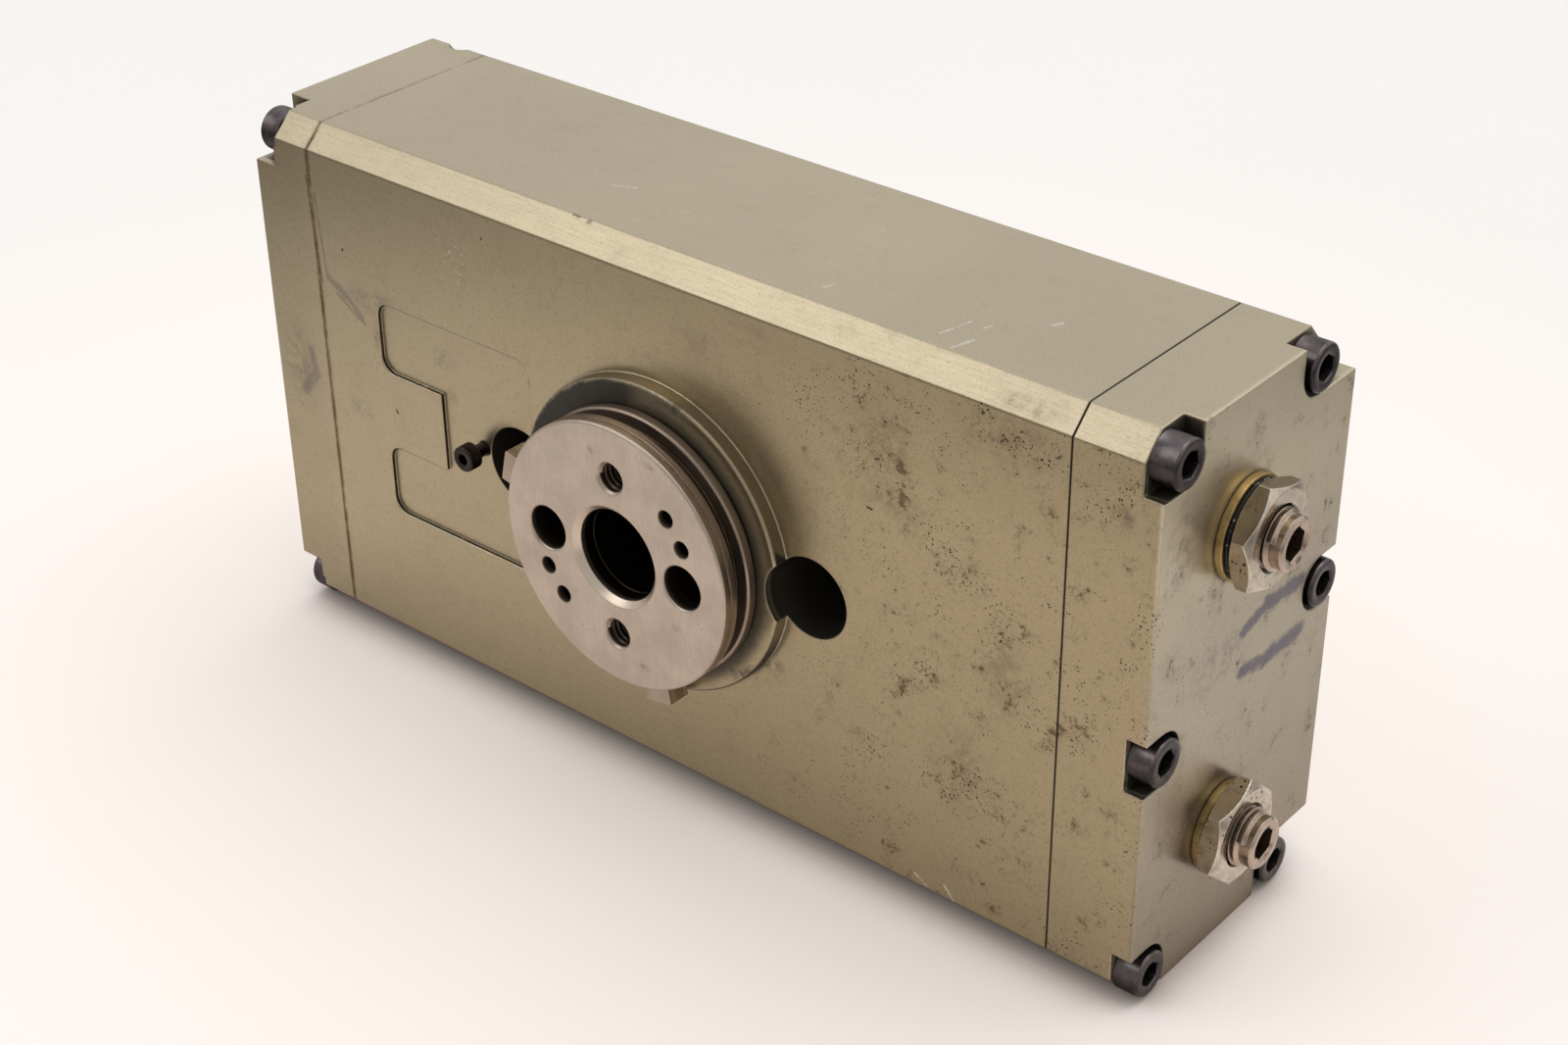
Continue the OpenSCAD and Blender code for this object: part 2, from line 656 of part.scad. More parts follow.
module rear_cover() color(OLIVE) difference() {
    along_y(0, 0, 0) rotate_extrude() polygon([
        [shaft_r + 0.6, back_y], [shaft_r + 0.6, back_y - cover_t],
        [bearing_r - 2, back_y - cover_t], [bearing_r - 2, clip_y], [bearing_r, clip_y],
        [bearing_r, spigot_y], [spigot_r, spigot_y], [spigot_r, back_y - cover_t - cover_seal_w],
        [spigot_r - 1.1, back_y - cover_t - cover_seal_w],
        [spigot_r - 1.1, back_y - cover_t], [cover_d / 2 - fit, back_y - cover_t],
        [cover_d / 2 - fit, back_y - edge_chamfer], [cover_d / 2 - edge_chamfer, back_y]]);
    for (a = [45:90:315])
        along_y(cover_pcd / 2 * cos(a), back_y - cover_t - 1, cover_pcd / 2 * sin(a)) {
            cylinder(d = cover_screw_d + 0.4, h = cover_t + 2);
            translate([0, 0, cover_t + 1 - cover_head_h])
                cylinder(d = cover_head_d + 0.4, h = cover_head_h + 1);
        }
}

cover_seal_w = 1.5;
cover_head_d = 5.2;
cover_head_h = 2.4;

module rear_cover_seal() color(RUBBER)
    along_y(0, back_y - cover_t - cover_seal_w / 2, 0) rotate_extrude()
        translate([spigot_r - 1.1 + 0.53, 0]) circle(r = 0.5, $fn = 24);

module rear_cover_screws() color(BLACK_OXIDE)
    for (a = [45:90:315])
        along_y(cover_pcd / 2 * cos(a), back_y - cover_head_h, cover_pcd / 2 * sin(a))
            cap_screw(cover_screw_d, cover_screw_len, cover_head_d, cover_head_h - 0.1, cover_socket);

// ---- racks ----

// A rack bar along X, centred on x = 0, with its teeth towards -Z; phase shifts its teeth
module rack_bar(phase) {
    top = pitch_r - addendum - cylinder_offset;
    bottom = pitch_r + dedendum - cylinder_offset;
    half_space = pitch / 4;
    mouth = half_space + addendum * tan(pressure_angle);
    floor_w = half_space - dedendum * tan(pressure_angle);
    difference() {
        along_x(-rack_len / 2, 0, 0) rotate_extrude() polygon(concat(
            [[0, 0], [bar_r - 1, 0], [bar_r, 1]], ring_steps(0), ring_steps(1),
            [[bar_r, rack_len - 1], [bar_r - 1, rack_len], [0, rack_len]]));
        translate([-flat_half, -cylinder_d, -cylinder_d])
            cube([2 * flat_half, 2 * cylinder_d, cylinder_d + top]);
        for (k = [-spaces:spaces])
            translate([k * pitch + phase, cylinder_d, 0]) rotate([90, 0, 0])
                linear_extrude(2 * cylinder_d) polygon([
                    [-mouth, top - 0.1], [mouth, top - 0.1], [mouth, top],
                    [floor_w, bottom], [-floor_w, bottom], [-mouth, top]]);
    }
}

spaces = floor((flat_half - pitch * 0.7) / pitch);

// Grooves of a seal and a wear band at one end of a bar, as points along its length
function ring_steps(end) = let (
    a = [[ring_land, seal_w, seal_depth], [2 * ring_land + seal_w, band_w, band_depth]],
    p = [for (g = a) each [[bar_r, g[0]], [bar_r - g[2], g[0]],
        [bar_r - g[2], g[0] + g[1]], [bar_r, g[0] + g[1]]]],
    n = len(p))
    end == 0 ? p : [for (i = [n - 1:-1:0]) [p[i][0], rack_len - p[i][1]]];

// Rings of a bar at both of its ends, in grooves that start at a distance from the ends
module bar_rings(start, width, depth) for (x = [-rack_len / 2 + start, rack_len / 2 - start - width])
    along_x(x + fit, 0, 0) ring(bar_r - depth + fit, band_r, width - 2 * fit);

rack_rest = stroke / 2;
lower_phase = (pinion_teeth % 2) * pitch / 2;
module at_upper_rack() translate([rack_rest, cylinder_y, cylinder_offset]) children();
module at_lower_rack() translate([-rack_rest, cylinder_y, -cylinder_offset]) children();

function phase_at(x) = x - pitch * round(x / pitch);

module upper_rack() color(STEEL) at_upper_rack() rack_bar(phase_at(-rack_rest));
module lower_rack() color(STEEL)
    at_lower_rack() mirror([0, 0, 1]) rack_bar(phase_at(rack_rest + lower_phase));
module upper_rack_seals() color(RUBBER) at_upper_rack() bar_rings(ring_land, seal_w, seal_depth);
module lower_rack_seals() color(RUBBER) at_lower_rack() bar_rings(ring_land, seal_w, seal_depth);
module upper_rack_wear_bands() color(BRONZE)
    at_upper_rack() bar_rings(2 * ring_land + seal_w, band_w, band_depth);
module lower_rack_wear_bands() color(BRONZE)
    at_lower_rack() bar_rings(2 * ring_land + seal_w, band_w, band_depth);

// ---- end stops ----

rack_stop_x = rack_len / 2 + rack_rest + stop_gap;
screw_tip_x = rack_stop_x + stop_pad_t;
stop_end_x = right_x + stop_reach;
stop_r = stop_d / 2 - 0.05;
thread_depth = 0.61 * stop_pitch;
stem_r = 1.5;
stem_len = 3;

module stop_screw(side) color(DARK_STEEL) difference() {
    along_x(screw_tip_x, cylinder_y, side * cylinder_offset) rotate_extrude() polygon([
        [0, 0], [stop_r - thread_depth, 0], [stop_r, thread_depth],
        [stop_r, stop_end_x - screw_tip_x - thread_depth * 1.6],
        [stop_r - thread_depth * 1.6, stop_end_x - screw_tip_x], [0, stop_end_x - screw_tip_x]]);
    along_x(stop_end_x - stop_socket, cylinder_y, side * cylinder_offset)
        hexagon(stop_socket, stop_socket + 1);
    along_x(screw_tip_x - 1, cylinder_y, side * cylinder_offset)
        cylinder(r = stem_r + 0.05, h = stem_len + 1.3);
}

module stop_pad(side) color(BRASS)
    along_x(rack_stop_x, cylinder_y, side * cylinder_offset) {
        cylinder(d = stop_pad_d, h = stop_pad_t - fit);
        cylinder(r = stem_r, h = stop_pad_t + stem_len);
    }

module lock_nut(side, x, turn) color(NICKEL)
    along_x(x, cylinder_y, side * cylinder_offset) difference() {
        intersection() {
            rotate([0, 0, 90 - turn]) hexagon(nut_af, nut_t);
            rotate_extrude() polygon([
                [0, 0], [nut_af / 2 + 0.8, 0], [nut_af / 2 + 0.8, nut_t - 0.7],
                [nut_af / 2 - 0.4, nut_t], [0, nut_t]]);
        }
        translate([0, 0, -1]) cylinder(d = stop_d, h = nut_t + 2);
        translate([0, 0, nut_t - nut_sink_depth]) cylinder(d1 = stop_d, d2 = nut_sink_d,
            h = nut_sink_depth + eps);
    }

nut_sink_depth = (nut_sink_d - stop_d) / 2;

module sealing_washer(side, d) color(ZINC)
    along_x(right_x, cylinder_y, side * cylinder_offset) ring(stop_d / 2 + 0.2, d / 2, washer_t);

module upper_stop_screw() stop_screw(1);
module lower_stop_screw() stop_screw(-1);
module upper_stop_pad() stop_pad(1);
module lower_stop_pad() stop_pad(-1);
module upper_lock_nut() lock_nut(1, right_x + washer_t + nut_seal_t, upper_nut_turn);
module lower_lock_nut() lock_nut(-1, right_x + washer_t, lower_nut_turn);
module upper_sealing_washer() sealing_washer(1, upper_washer_d);
module lower_sealing_washer() sealing_washer(-1, lower_washer_d);
module upper_nut_seal() color(RUBBER)
    along_x(right_x + washer_t, cylinder_y, cylinder_offset)
        ring(stop_d / 2 + 0.35, upper_washer_d / 2 - 0.2, nut_seal_t);

// ---- switch lugs ----

lug_front = lug_groove_y - 0.15;
lug_back = flange_t - 0.15;

// A lug pointing along +X, with its tongue in the flange's groove
module switch_lug(angle) color(STEEL) rotate([0, -angle, 0]) difference() {
    union() {
        translate([flange_d / 2 + 0.03, lug_front, -lug_w / 2])
            cube([lug_r - flange_d / 2 - 0.03, lug_back - lug_front, lug_w]);
        translate([lug_floor_r + 0.05, lug_groove_y + 0.05, -lug_w / 2])
            cube([lug_r - lug_floor_r - 1, lug_groove_w - 0.1, lug_w]);
    }
    // The lug's foot follows the groove floor and the flange's rim
    along_y(0, -1, 0) cylinder(r = lug_floor_r + 0.05, h = flange_t + 2);
    along_y(0, lug_front - 1, 0) cylinder(r = flange_d / 2 + 0.03, h = lug_groove_y + 0.05 - lug_front + 1);
    along_y(0, lug_groove_y + lug_groove_w - 0.05, 0) cylinder(r = flange_d / 2 + 0.03, h = flange_t);
    along_x(0, lug_groove_y + lug_groove_w / 2, 0)
        cylinder(r = lug_screw_r + fit, h = lug_r + 1);
}

lug_screw_r = min(lug_screw_d, lug_groove_w - 0.4) / 2;

module left_switch_lug() switch_lug(lug_mid_angle - lug_half_angle);
module lower_switch_lug() switch_lug(lug_mid_angle + lug_half_angle);

module lug_set_screws() color(BLACK_OXIDE)
    for (angle = [lug_mid_angle - lug_half_angle, lug_mid_angle + lug_half_angle])
        rotate([0, -angle, 0]) difference() {
            along_x(lug_floor_r + fit, lug_groove_y + lug_groove_w / 2, 0)
                cylinder(r = lug_screw_r, h = lug_r - lug_floor_r - 0.6);
            along_x(lug_r - 1.8, lug_groove_y + lug_groove_w / 2, 0) hexagon(lug_screw_r, lug_screw_d);
        }

// ---- sensor clamp screw ----

module sensor_clamp_screw() color(BLACK_OXIDE)
    translate([-clamp_x, front_y - clamp_reach + clamp_head_h, clamp_z]) rotate([90, 0, 0])
        cap_screw(clamp_d, clamp_reach - clamp_head_h + clamp_depth - 1, clamp_head_d,
            clamp_head_h, clamp_head_d * 0.45);

main_body();
left_end_cap();
right_end_cap();
left_cap_screws();
right_cap_screws();
cap_seal_rings();
output_shaft();
drive_key();
pinion();
front_spacer();
rear_spacer();
shaft_retaining_ring();
front_bearing_inner_ring();
front_bearing_outer_ring();
front_bearing_balls();
front_bearing_cage();
rear_bearing_inner_ring();
rear_bearing_outer_ring();
rear_bearing_balls();
rear_bearing_cage();
shaft_seal();
rear_cover();
rear_cover_screws();
rear_cover_seal();
upper_rack();
lower_rack();
upper_rack_seals();
lower_rack_seals();
upper_rack_wear_bands();
lower_rack_wear_bands();
upper_stop_screw();
lower_stop_screw();
upper_stop_pad();
lower_stop_pad();
upper_lock_nut();
lower_lock_nut();
upper_sealing_washer();
lower_sealing_washer();
upper_nut_seal();
left_switch_lug();
lower_switch_lug();
lug_set_screws();
sensor_clamp_screw();
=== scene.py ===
"""Finish for the twin-rack rotary actuator: its visible pieces, materials and a small studio."""

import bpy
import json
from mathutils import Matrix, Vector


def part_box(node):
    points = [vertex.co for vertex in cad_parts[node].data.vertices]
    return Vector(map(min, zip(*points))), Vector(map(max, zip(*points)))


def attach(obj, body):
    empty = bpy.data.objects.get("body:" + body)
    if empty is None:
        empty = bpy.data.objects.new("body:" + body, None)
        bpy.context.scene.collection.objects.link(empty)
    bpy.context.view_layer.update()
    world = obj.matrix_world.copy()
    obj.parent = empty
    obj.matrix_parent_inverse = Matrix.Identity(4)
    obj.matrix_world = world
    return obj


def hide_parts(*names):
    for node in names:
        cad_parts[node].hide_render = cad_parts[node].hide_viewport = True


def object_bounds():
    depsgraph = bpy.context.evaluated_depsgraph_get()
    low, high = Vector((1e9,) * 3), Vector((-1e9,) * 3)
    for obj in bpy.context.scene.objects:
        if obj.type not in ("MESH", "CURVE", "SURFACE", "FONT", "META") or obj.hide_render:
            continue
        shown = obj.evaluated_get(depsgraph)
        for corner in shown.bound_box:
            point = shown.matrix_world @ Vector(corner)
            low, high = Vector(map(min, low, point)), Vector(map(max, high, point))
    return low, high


bl_info = {
    "name": "Rotary Actuator Finish",
    "version": (1, 0, 0),
    "blender": (4, 5, 0),
    "location": "View3D > Sidebar > Actuator",
    "description": "Dresses the packed rotary actuator with its visible pieces and finishes",
    "category": "Object",
}

import json
import math

import bmesh
import bpy
from mathutils import Matrix, Vector

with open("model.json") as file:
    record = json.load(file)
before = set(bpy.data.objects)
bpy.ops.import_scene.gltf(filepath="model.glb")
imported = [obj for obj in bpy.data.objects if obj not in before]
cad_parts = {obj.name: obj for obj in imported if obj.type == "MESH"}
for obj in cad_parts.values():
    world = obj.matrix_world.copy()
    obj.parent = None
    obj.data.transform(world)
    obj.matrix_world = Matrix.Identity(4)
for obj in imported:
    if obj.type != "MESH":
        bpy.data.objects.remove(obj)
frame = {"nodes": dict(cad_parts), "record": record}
CAD_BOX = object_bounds()
MM = 0.001
TURN = 2 * math.pi
SIXTH = TURN / 6
COLUMNS = 96  # faces round a turned piece, a multiple of 12 so that hexagon corners are exact
SAME = 1e-7  # closer vertices than this are one vertex

# Places that several pieces and finishes share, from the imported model's own boxes
LEFT_X, FRONT_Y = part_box("left_end_cap")[0][:2]
SEAM_X, BACK_Y, HALF_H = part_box("main_body")[1]
RIGHT_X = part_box("right_end_cap")[1][0]
FLANGE_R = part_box("output_shaft")[1][0]
BOSS_Y = FRONT_Y - 2.8 * MM


def rgb(code):
    """Linear colour of a hexadecimal screen colour."""
    parts = [int(code[i:i + 2], 16) / 255 for i in (0, 2, 4)]
    return tuple(p / 12.92 if p < 0.04045 else ((p + 0.055) / 1.055) ** 2.4 for p in parts)


def shade(tone, factor):
    """A linear colour made lighter or darker."""
    return tuple(min(1.0, v * factor) for v in tone)


# ---------------------------- settings

def colour(name, text, code):
    return bpy.props.FloatVectorProperty(
        name=name, description=text, subtype="COLOR", size=3, min=0, max=1, default=rgb(code))


def length(name, text, value):
    return bpy.props.FloatProperty(
        name=name, description=text, default=value * MM, min=0, unit="LENGTH",
        subtype="DISTANCE", precision=5)


class ActuatorColours(bpy.types.PropertyGroup):
    """Colours of the finishes."""
    anodising: colour("Anodising", "Hard-anodised body and caps", "C6BBA2")
    anodising_pale: colour("Pale anodising", "Brushed chamfers and worn edges", "C9B99A")
    # Film, darkened, also gives the painted shade towards the top and bottom of the front.
    film: colour("Film", "Brown film on the upright faces", "B2A281")
    # Grime also gives the painted shade in corners, under faces that look down, and in notches,
    # bores and hollows.
    grime_and_shade: colour("Grime", "Dark pits, stains and dirt in corners", "2A2118")
    # Oil also gives the painted shade on the recess walls, in the flange's groove, tapped holes
    # and bore, and towards the bottom of the right end face.
    oil_and_shade: colour("Oil", "Dried oil and brown stains", "5E4A30")
    handled: colour("Handled", "Greyer tone of the end faces", "B9B3A8")
    rust: colour("Rust", "Rust along the seams and in hairlines", "70502F")
    smudge: colour("Smudge", "Purple-grey handling marks", "5C5560")
    pen: colour("Pen", "Faded felt-pen strokes", "57536A")
    chalk: colour("Chalk", "White flecks", "F0ECE6")
    flange: colour("Flange", "Ground steel of the output flange", "CBBCAC")
    flange_rim: colour("Flange rim", "Turned rim bands of the flange", "A29182")
    black_oxide: colour("Black oxide", "Cap screws", "6C6466")
    nickel: colour("Nickel", "Lock nuts", "D6C9B6")
    screw_steel: colour("Screw steel", "Stop screws", "C2AE9E")
    zinc: colour("Yellow zinc", "Sealing washers", "B79E6B")
    brass: colour("Brass", "Bearing cages and stop pads", "B08D4A")
    hard_steel: colour("Hardened steel", "Racks, pinion, bearings and spacers", "8F8A84")
    rubber: colour("Rubber", "Seals", "171615")
    plastic: colour("Guide plastic", "Wear bands of the racks", "6B5438")


class ActuatorSizes(bpy.types.PropertyGroup):
    """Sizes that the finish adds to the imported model."""
    edge: length("Edge", "Width of the broken edges of body and caps", 0.18)
    fine_edge: length("Fine edge", "Width of the broken edges of small pieces", 0.12)
    front_chamfer: length("Front chamfer", "Chamfer of the housing's front edges", 4.0)
    back_chamfer_y: length("Back chamfer depth", "Back chamfers, in the depth", 8.4)
    back_chamfer_z: length("Back chamfer height", "Back chamfers, in the height", 9.3)
    cap_shank_d: length("Cap screw shank", "Diameter of the cap screws", 5.0)
    cap_head_h: length("Cap screw head", "Height of the cap screws' heads", 4.5)
    cap_socket: length("Cap screw socket", "Cap screws' socket across flats", 4.0)
    cover_head_h: length("Cover screw head", "Height of the cover screws' heads", 2.3)
    cover_socket: length("Cover screw socket", "Cover screws' socket across flats", 2.5)
    cover_shank_d: length("Cover screw shank", "Diameter of the cover screws", 3.0)
    clamp_head_h: length("Clamp screw head", "Height of the clamp screw's head", 2.5)
    clamp_socket: length("Clamp screw socket", "Clamp screw's socket across flats", 2.0)
    clamp_shank_d: length("Clamp screw shank", "Diameter of the clamp screw", 2.5)
    sensor_bore_d: length("Sensor bores", "Diameter of the sensor bores", 14.3)
    sensor_bore_x: length("Sensor bore place", "Distance of the bores from the axis", 32.5)
    sensor_bore_depth: length("Sensor bore depth", "Depth of the bores below the front", 28.0)
    recess_depth: length("Recess", "Depth of the milled recess", 0.8)
    knurl: length("Knurl", "Depth of the knurling on the screw heads", 0.12)
    stop_d: length("Stop screw thread", "Thread diameter of the stop screws", 10.0)
    stop_pitch: length("Stop screw pitch", "Pitch of the stop screws' thread", 1.0)
    stop_travel: length("Stop screw travel", "How far the stop screws come out", 5.0)
    stop_socket: length("Stop screw socket", "Stop screws' socket across flats", 5.0)
    nut_af: length("Lock nut", "Lock nuts across flats", 16.0)
    nut_sink_d: length("Nut countersink", "Diameter of the lock nuts' countersink", 11.0)
    tapped_d: length("Tapped holes", "Diameter of the flange's tapped holes", 5.0)
    tapped_pcd: length("Tapped hole circle", "Pitch circle of the flange's holes", 29.6)
    tapped_pitch: length("Tapped hole pitch", "Pitch of the flange's tapped holes", 1.0)
    mouth_d: length("Bore mouth", "Diameter of the flange's bore at its mouth", 16.4)
    mouth_chamfer: length("Bore mouth chamfer", "Chamfer of the bore at the face", 1.1)
    rim_line_y: length("Rim line", "Hairline behind the flange's face", 1.6)
    groove_y: length("Lug groove", "Front wall of the lug groove", 3.05)
    groove_w: length("Lug groove width", "Width of the lug groove", 2.65)


def finish():
    return bpy.context.scene.actuator_colours


def sizes():
    return bpy.context.scene.actuator_sizes


# ---------------------------- node helpers

class Value:
    """Output of a shader node, which can be reckoned with like a number."""

    def __init__(self, socket):
        self.socket = socket
        self.tree = socket.id_data

    def __add__(self, other):
        return calc("ADD", self, other)

    def __sub__(self, other):
        return calc("SUBTRACT", self, other)

    def __rsub__(self, other):
        return calc("SUBTRACT", other, self)

    def __mul__(self, other):
        return calc("MULTIPLY", self, other)

    def __truediv__(self, other):
        return calc("DIVIDE", self, other)

    def __abs__(self):
        return calc("ABSOLUTE", self)


def tree_of(*values):
    return next(value.tree for value in values if isinstance(value, Value))


def connect(node, inputs):
    """Gives a node its inputs: numbers, colours or Values; None leaves one as it is."""
    for key, value in inputs.items():
        if isinstance(value, Value):
            value.tree.links.new(value.socket, node.inputs[key])
        elif value is not None:
            is_colour = node.inputs[key].type == "RGBA"
            node.inputs[key].default_value = (*value, 1) if is_colour else value


def put(tree, kind, inputs, out=0, **props):
    """Adds a node with its inputs and returns one of its outputs."""
    node = tree.nodes.new("ShaderNode" + kind)
    for key, value in props.items():
        setattr(node, key, value)
    connect(node, inputs)
    return Value(node.outputs[out]) if node.outputs else None


def calc(operation, a, b=None, clamp=False):
    return put(tree_of(a, b), "Math", {0: a, 1: b}, operation=operation, use_clamp=clamp)


def vector(operation, a, b=None, scale=None):
    """Vector arithmetic; a length, distance or dot product comes out as a number."""
    number = operation in ("LENGTH", "DISTANCE", "DOT_PRODUCT")
    return put(tree_of(a, b), "VectorMath", {0: a, 1: b, "Scale": scale},
               "Value" if number else "Vector", operation=operation)


def mix(a, b, factor):
    """Colour a with as much of colour b as the factor says."""
    return put(tree_of(factor, a, b), "Mix", {0: factor, 6: a, 7: b}, 2, data_type="RGBA")


def ramp(value, low, high, end=1.0):
    """0 below low and end above high, smooth between; low may be above high."""
    return put(value.tree, "MapRange", {"Value": value, "From Min": low, "From Max": high,
                                        "To Max": end}, interpolation_type="SMOOTHSTEP")


def noise(place, scale, detail=3.0, rough=0.5, stretch=None):
    """Noise value; stretch scales the coordinates first, for grain along an axis."""
    if stretch:
        place = put(place.tree, "Mapping", {"Vector": place, "Scale": stretch})
    return put(place.tree, "TexNoise", {"Vector": place, "Scale": scale, "Detail": detail,
                                        "Roughness": rough}, "Fac")


def split(place):
    """The X, Y and Z of a place or a direction."""
    first = put(place.tree, "SeparateXYZ", {0: place})
    return [Value(socket) for socket in first.socket.node.outputs]


def from_axis(x, z):
    """Distance from an axis along Y."""
    return vector("LENGTH", put(tree_of(x), "CombineXYZ", {"X": x, "Z": z}))


def either(*masks):
    """The strongest of several masks."""
    result = masks[0]
    for mask in masks[1:]:
        result = calc("MAXIMUM", result, mask)
    return result


def openness(tree, distance, samples=6):
    """1 in the open, less where other faces stand close."""
    return put(tree, "AmbientOcclusion", {"Distance": distance}, "AO", samples=samples)


def bump(height, strength, distance, normal=None):
    return put(height.tree, "Bump", {"Height": height, "Strength": strength,
                                     "Distance": distance, "Normal": normal})


def group(name, **defaults):
    """Makes a node group of a function of its inputs; a default of None means a vector.

    The function returns a mask, or outputs by name. The group is made once.
    """
    def make(build):
        tree = bpy.data.node_groups.new(name, "ShaderNodeTree")
        for label, default in defaults.items():
            kind = "NodeSocketVector" if default is None else "NodeSocketFloat"
            socket = tree.interface.new_socket(label, in_out="INPUT", socket_type=kind)
            if default is not None:
                socket.default_value = default
        start = tree.nodes.new("NodeGroupInput")
        results = build(*[Value(start.outputs[label]) for label in defaults])
        if isinstance(results, Value):
            results = {"Mask": results}
        for label, result in results.items():
            kind = "NodeSocketVector" if result.socket.type == "VECTOR" else "NodeSocketFloat"
            tree.interface.new_socket(label, in_out="OUTPUT", socket_type=kind)
        connect(tree.nodes.new("NodeGroupOutput"), results)
        return tree

    def wrap(build):
        def use(*inputs):
            node = tree_of(*inputs).nodes.new("ShaderNodeGroup")
            node.node_tree = bpy.data.node_groups.get(name) or make(build)
            connect(node, dict(zip(defaults, inputs)))
            outputs = {socket.name: Value(socket) for socket in node.outputs}
            return outputs.get("Mask", outputs)
        return use
    return wrap


@group("Specks", Vector=None, Scale=900.0, Amount=1.0)
def specks(where, scale, amount):
    """Small ragged specks of uneven size, in clusters."""
    tree = where.tree
    warp = put(tree, "TexNoise", {"Vector": where, "Scale": 2400.0, "Detail": 2.0}, "Color")
    place = vector("ADD", where, vector("SCALE", warp, scale=0.25 * MM))
    far = put(tree, "TexVoronoi", {"Vector": place, "Scale": scale}, "Distance", feature="F1")
    random = put(tree, "SeparateColor", {0: Value(far.socket.node.outputs["Color"])})
    patch = noise(where, 110.0, 5.0, 0.75)
    size = random * random * 0.34 * ramp(patch, 0.35, 0.7) * amount
    return ramp(size - far, 0.0, 0.07)


@group("Edges", Vector=None, Radius=0.3 * MM, Reach=1.2 * MM)
def worn_edges(where, radius, reach):
    """Worn edges, dirt and painted shade in corners, and the normal with its edges rounded."""
    tree = where.tree
    rounded = put(tree, "Bevel", {"Radius": radius}, samples=6)
    dot = vector("DOT_PRODUCT", rounded, put(tree, "NewGeometry", {}, "Normal"))
    edge = ramp(1.0 - dot, 0.003, 0.05)
    patch = noise(where, 220.0, 5.0, 0.75)
    # Painted shade and dirt where other faces stand close.
    corner = ramp(openness(tree, reach), 0.85, 0.35)
    return {"Wear": edge * ramp(patch, 0.3, 0.6) * ramp(corner, 0.6, 0.2),
            "DirtAndShade": corner * ramp(patch, 0.75, 0.35), "Normal": rounded}


@group("Blot", Vector=None, Place=None, Size=None, Grain=300.0)
def blot(where, place, size, grain):
    """An uneven patch round a place; size is its half width along each axis."""
    far = vector("LENGTH", vector("DIVIDE", vector("SUBTRACT", where, place), size))
    return ramp(far, 1.0, 0.1) * ramp(noise(where, grain, 6.0, 0.75), 0.36, 0.68)


@group("Stroke", Vector=None, Start=None, End=None, Width=MM, Grain=600.0)
def stroke(where, start, end, width, grain):
    """A straight mark between two places, ragged along its sides."""
    along = vector("SUBTRACT", end, start)
    reach = vector("SUBTRACT", where, start)
    share = calc("DIVIDE", vector("DOT_PRODUCT", reach, along),
                 vector("DOT_PRODUCT", along, along), clamp=True)
    far = vector("DISTANCE", reach, vector("SCALE", along, scale=share))
    return ramp(far / width + noise(where, grain, 6.0, 0.75), 1.1, 0.7)


def material(name):
    """A material, its shader, and the places and normals of the object that has it."""
    mat = bpy.data.materials.new(name)
    mat.use_nodes = True
    tree = mat.node_tree
    tree.nodes.clear()
    shader = put(tree, "BsdfPrincipled", {})
    put(tree, "OutputMaterial", {"Surface": shader})
    where = put(tree, "TexCoord", {}, "Object")
    return mat, shader.socket.node, where, Value(where.socket.node.outputs["Normal"])


# ---------------------------- finishes

# Faces that carry marks: the axis across the face, its level and half a stain's depth
FACES = {"front": (1, FRONT_Y, 5), "boss": (1, BOSS_Y, 1.5), "flange": (1, 0.0, 1),
         "top": (2, HALF_H, 2), "chamfer": (2, HALF_H - 2.5 * MM, 2), "right": (0, RIGHT_X, 5)}

# Stains by face: place along the face, half widths and, where it isn't the face's own, depth
OIL_STAINS = {
    "front": ((14, 28, 12, 7), (46, 33, 8, 10), (69, 42, 12, 6), (49, 24, 9, 5),
              (-48.4, 8, 1.6, 3), (-66, 14, 1.5, 6), (89, 36, 3, 4), (21, -17, 8, 5),
              (62, -20, 9, 12), (70, 2, 7, 12)),
    "chamfer": ((72, 12, 8, 3),)}
SMUDGES = {
    "front": ((-88, 2, 7, 12), (-66, 21, 12, 4), (-50, 15, 5, 3), (-72, -2, 4, 3),
              (89.8, 36, 2, 2)),
    "right": ((17, 31, 7, 12), (30, 5, 12, 6))}
DUST = {"front": ((-40, 36, 17, 9), (14, 29, 12, 10)), "top": ((20, 20, 60, 12),)}
GREASE = {"boss": ((5, 26, 8, 3), (18.5, -17, 6, 5)), "front": ((24, -16, 4, 2, 1.5),),
          "top": ((-16, 14.2, 1.1, 1.1, 1),), "right": ((19, -5, 4, 3, 2),)}
FLANGE_SPOTS = {"flange": ((-3.8, 18.8, 1.2, 1.5), (13.6, -8.2, 1.6, 1.2), (9.2, 20.3, 2, 1),
                           (-17, -3, 1.5, 2), (6, -19, 2, 1))}
# Strokes by face: start, end and width
RUST_MARKS = {"front": ((-80.7, 41, -80, 28, 0.6), (-80, 28, -79.4, 21, 0.7),
                        (-80.2, 21, -80.2, -46, 0.4), (-28.3, 18.5, -29.3, 12, 0.3))}
SCUFFS = {"front": ((-79, 38, -77.8, 22, 0.6), (-77.5, 22.4, -73, 19.9, 1.8),
                    (-73, 19.9, -69.5, 17, 1.4), (-75.5, 19.8, -69, 16, 0.8),
                    (-84.6, 6, -83.9, 1.3, 2.0), (-83.9, 1.3, -87.3, -3, 2.6))}
DARK_MARKS = {
    "front": ((43.7, 21, 44.6, 20.9, 0.45), (-73.1, 29, -73, 29.2, 0.5),
              (-62.7, 0.9, -62.4, 0.4, 0.5), (-37.5, 41.6, -37.4, 41.8, 0.4)),
    "top": ((-19.5, 14.6, -18, 14.6, 0.7),)}
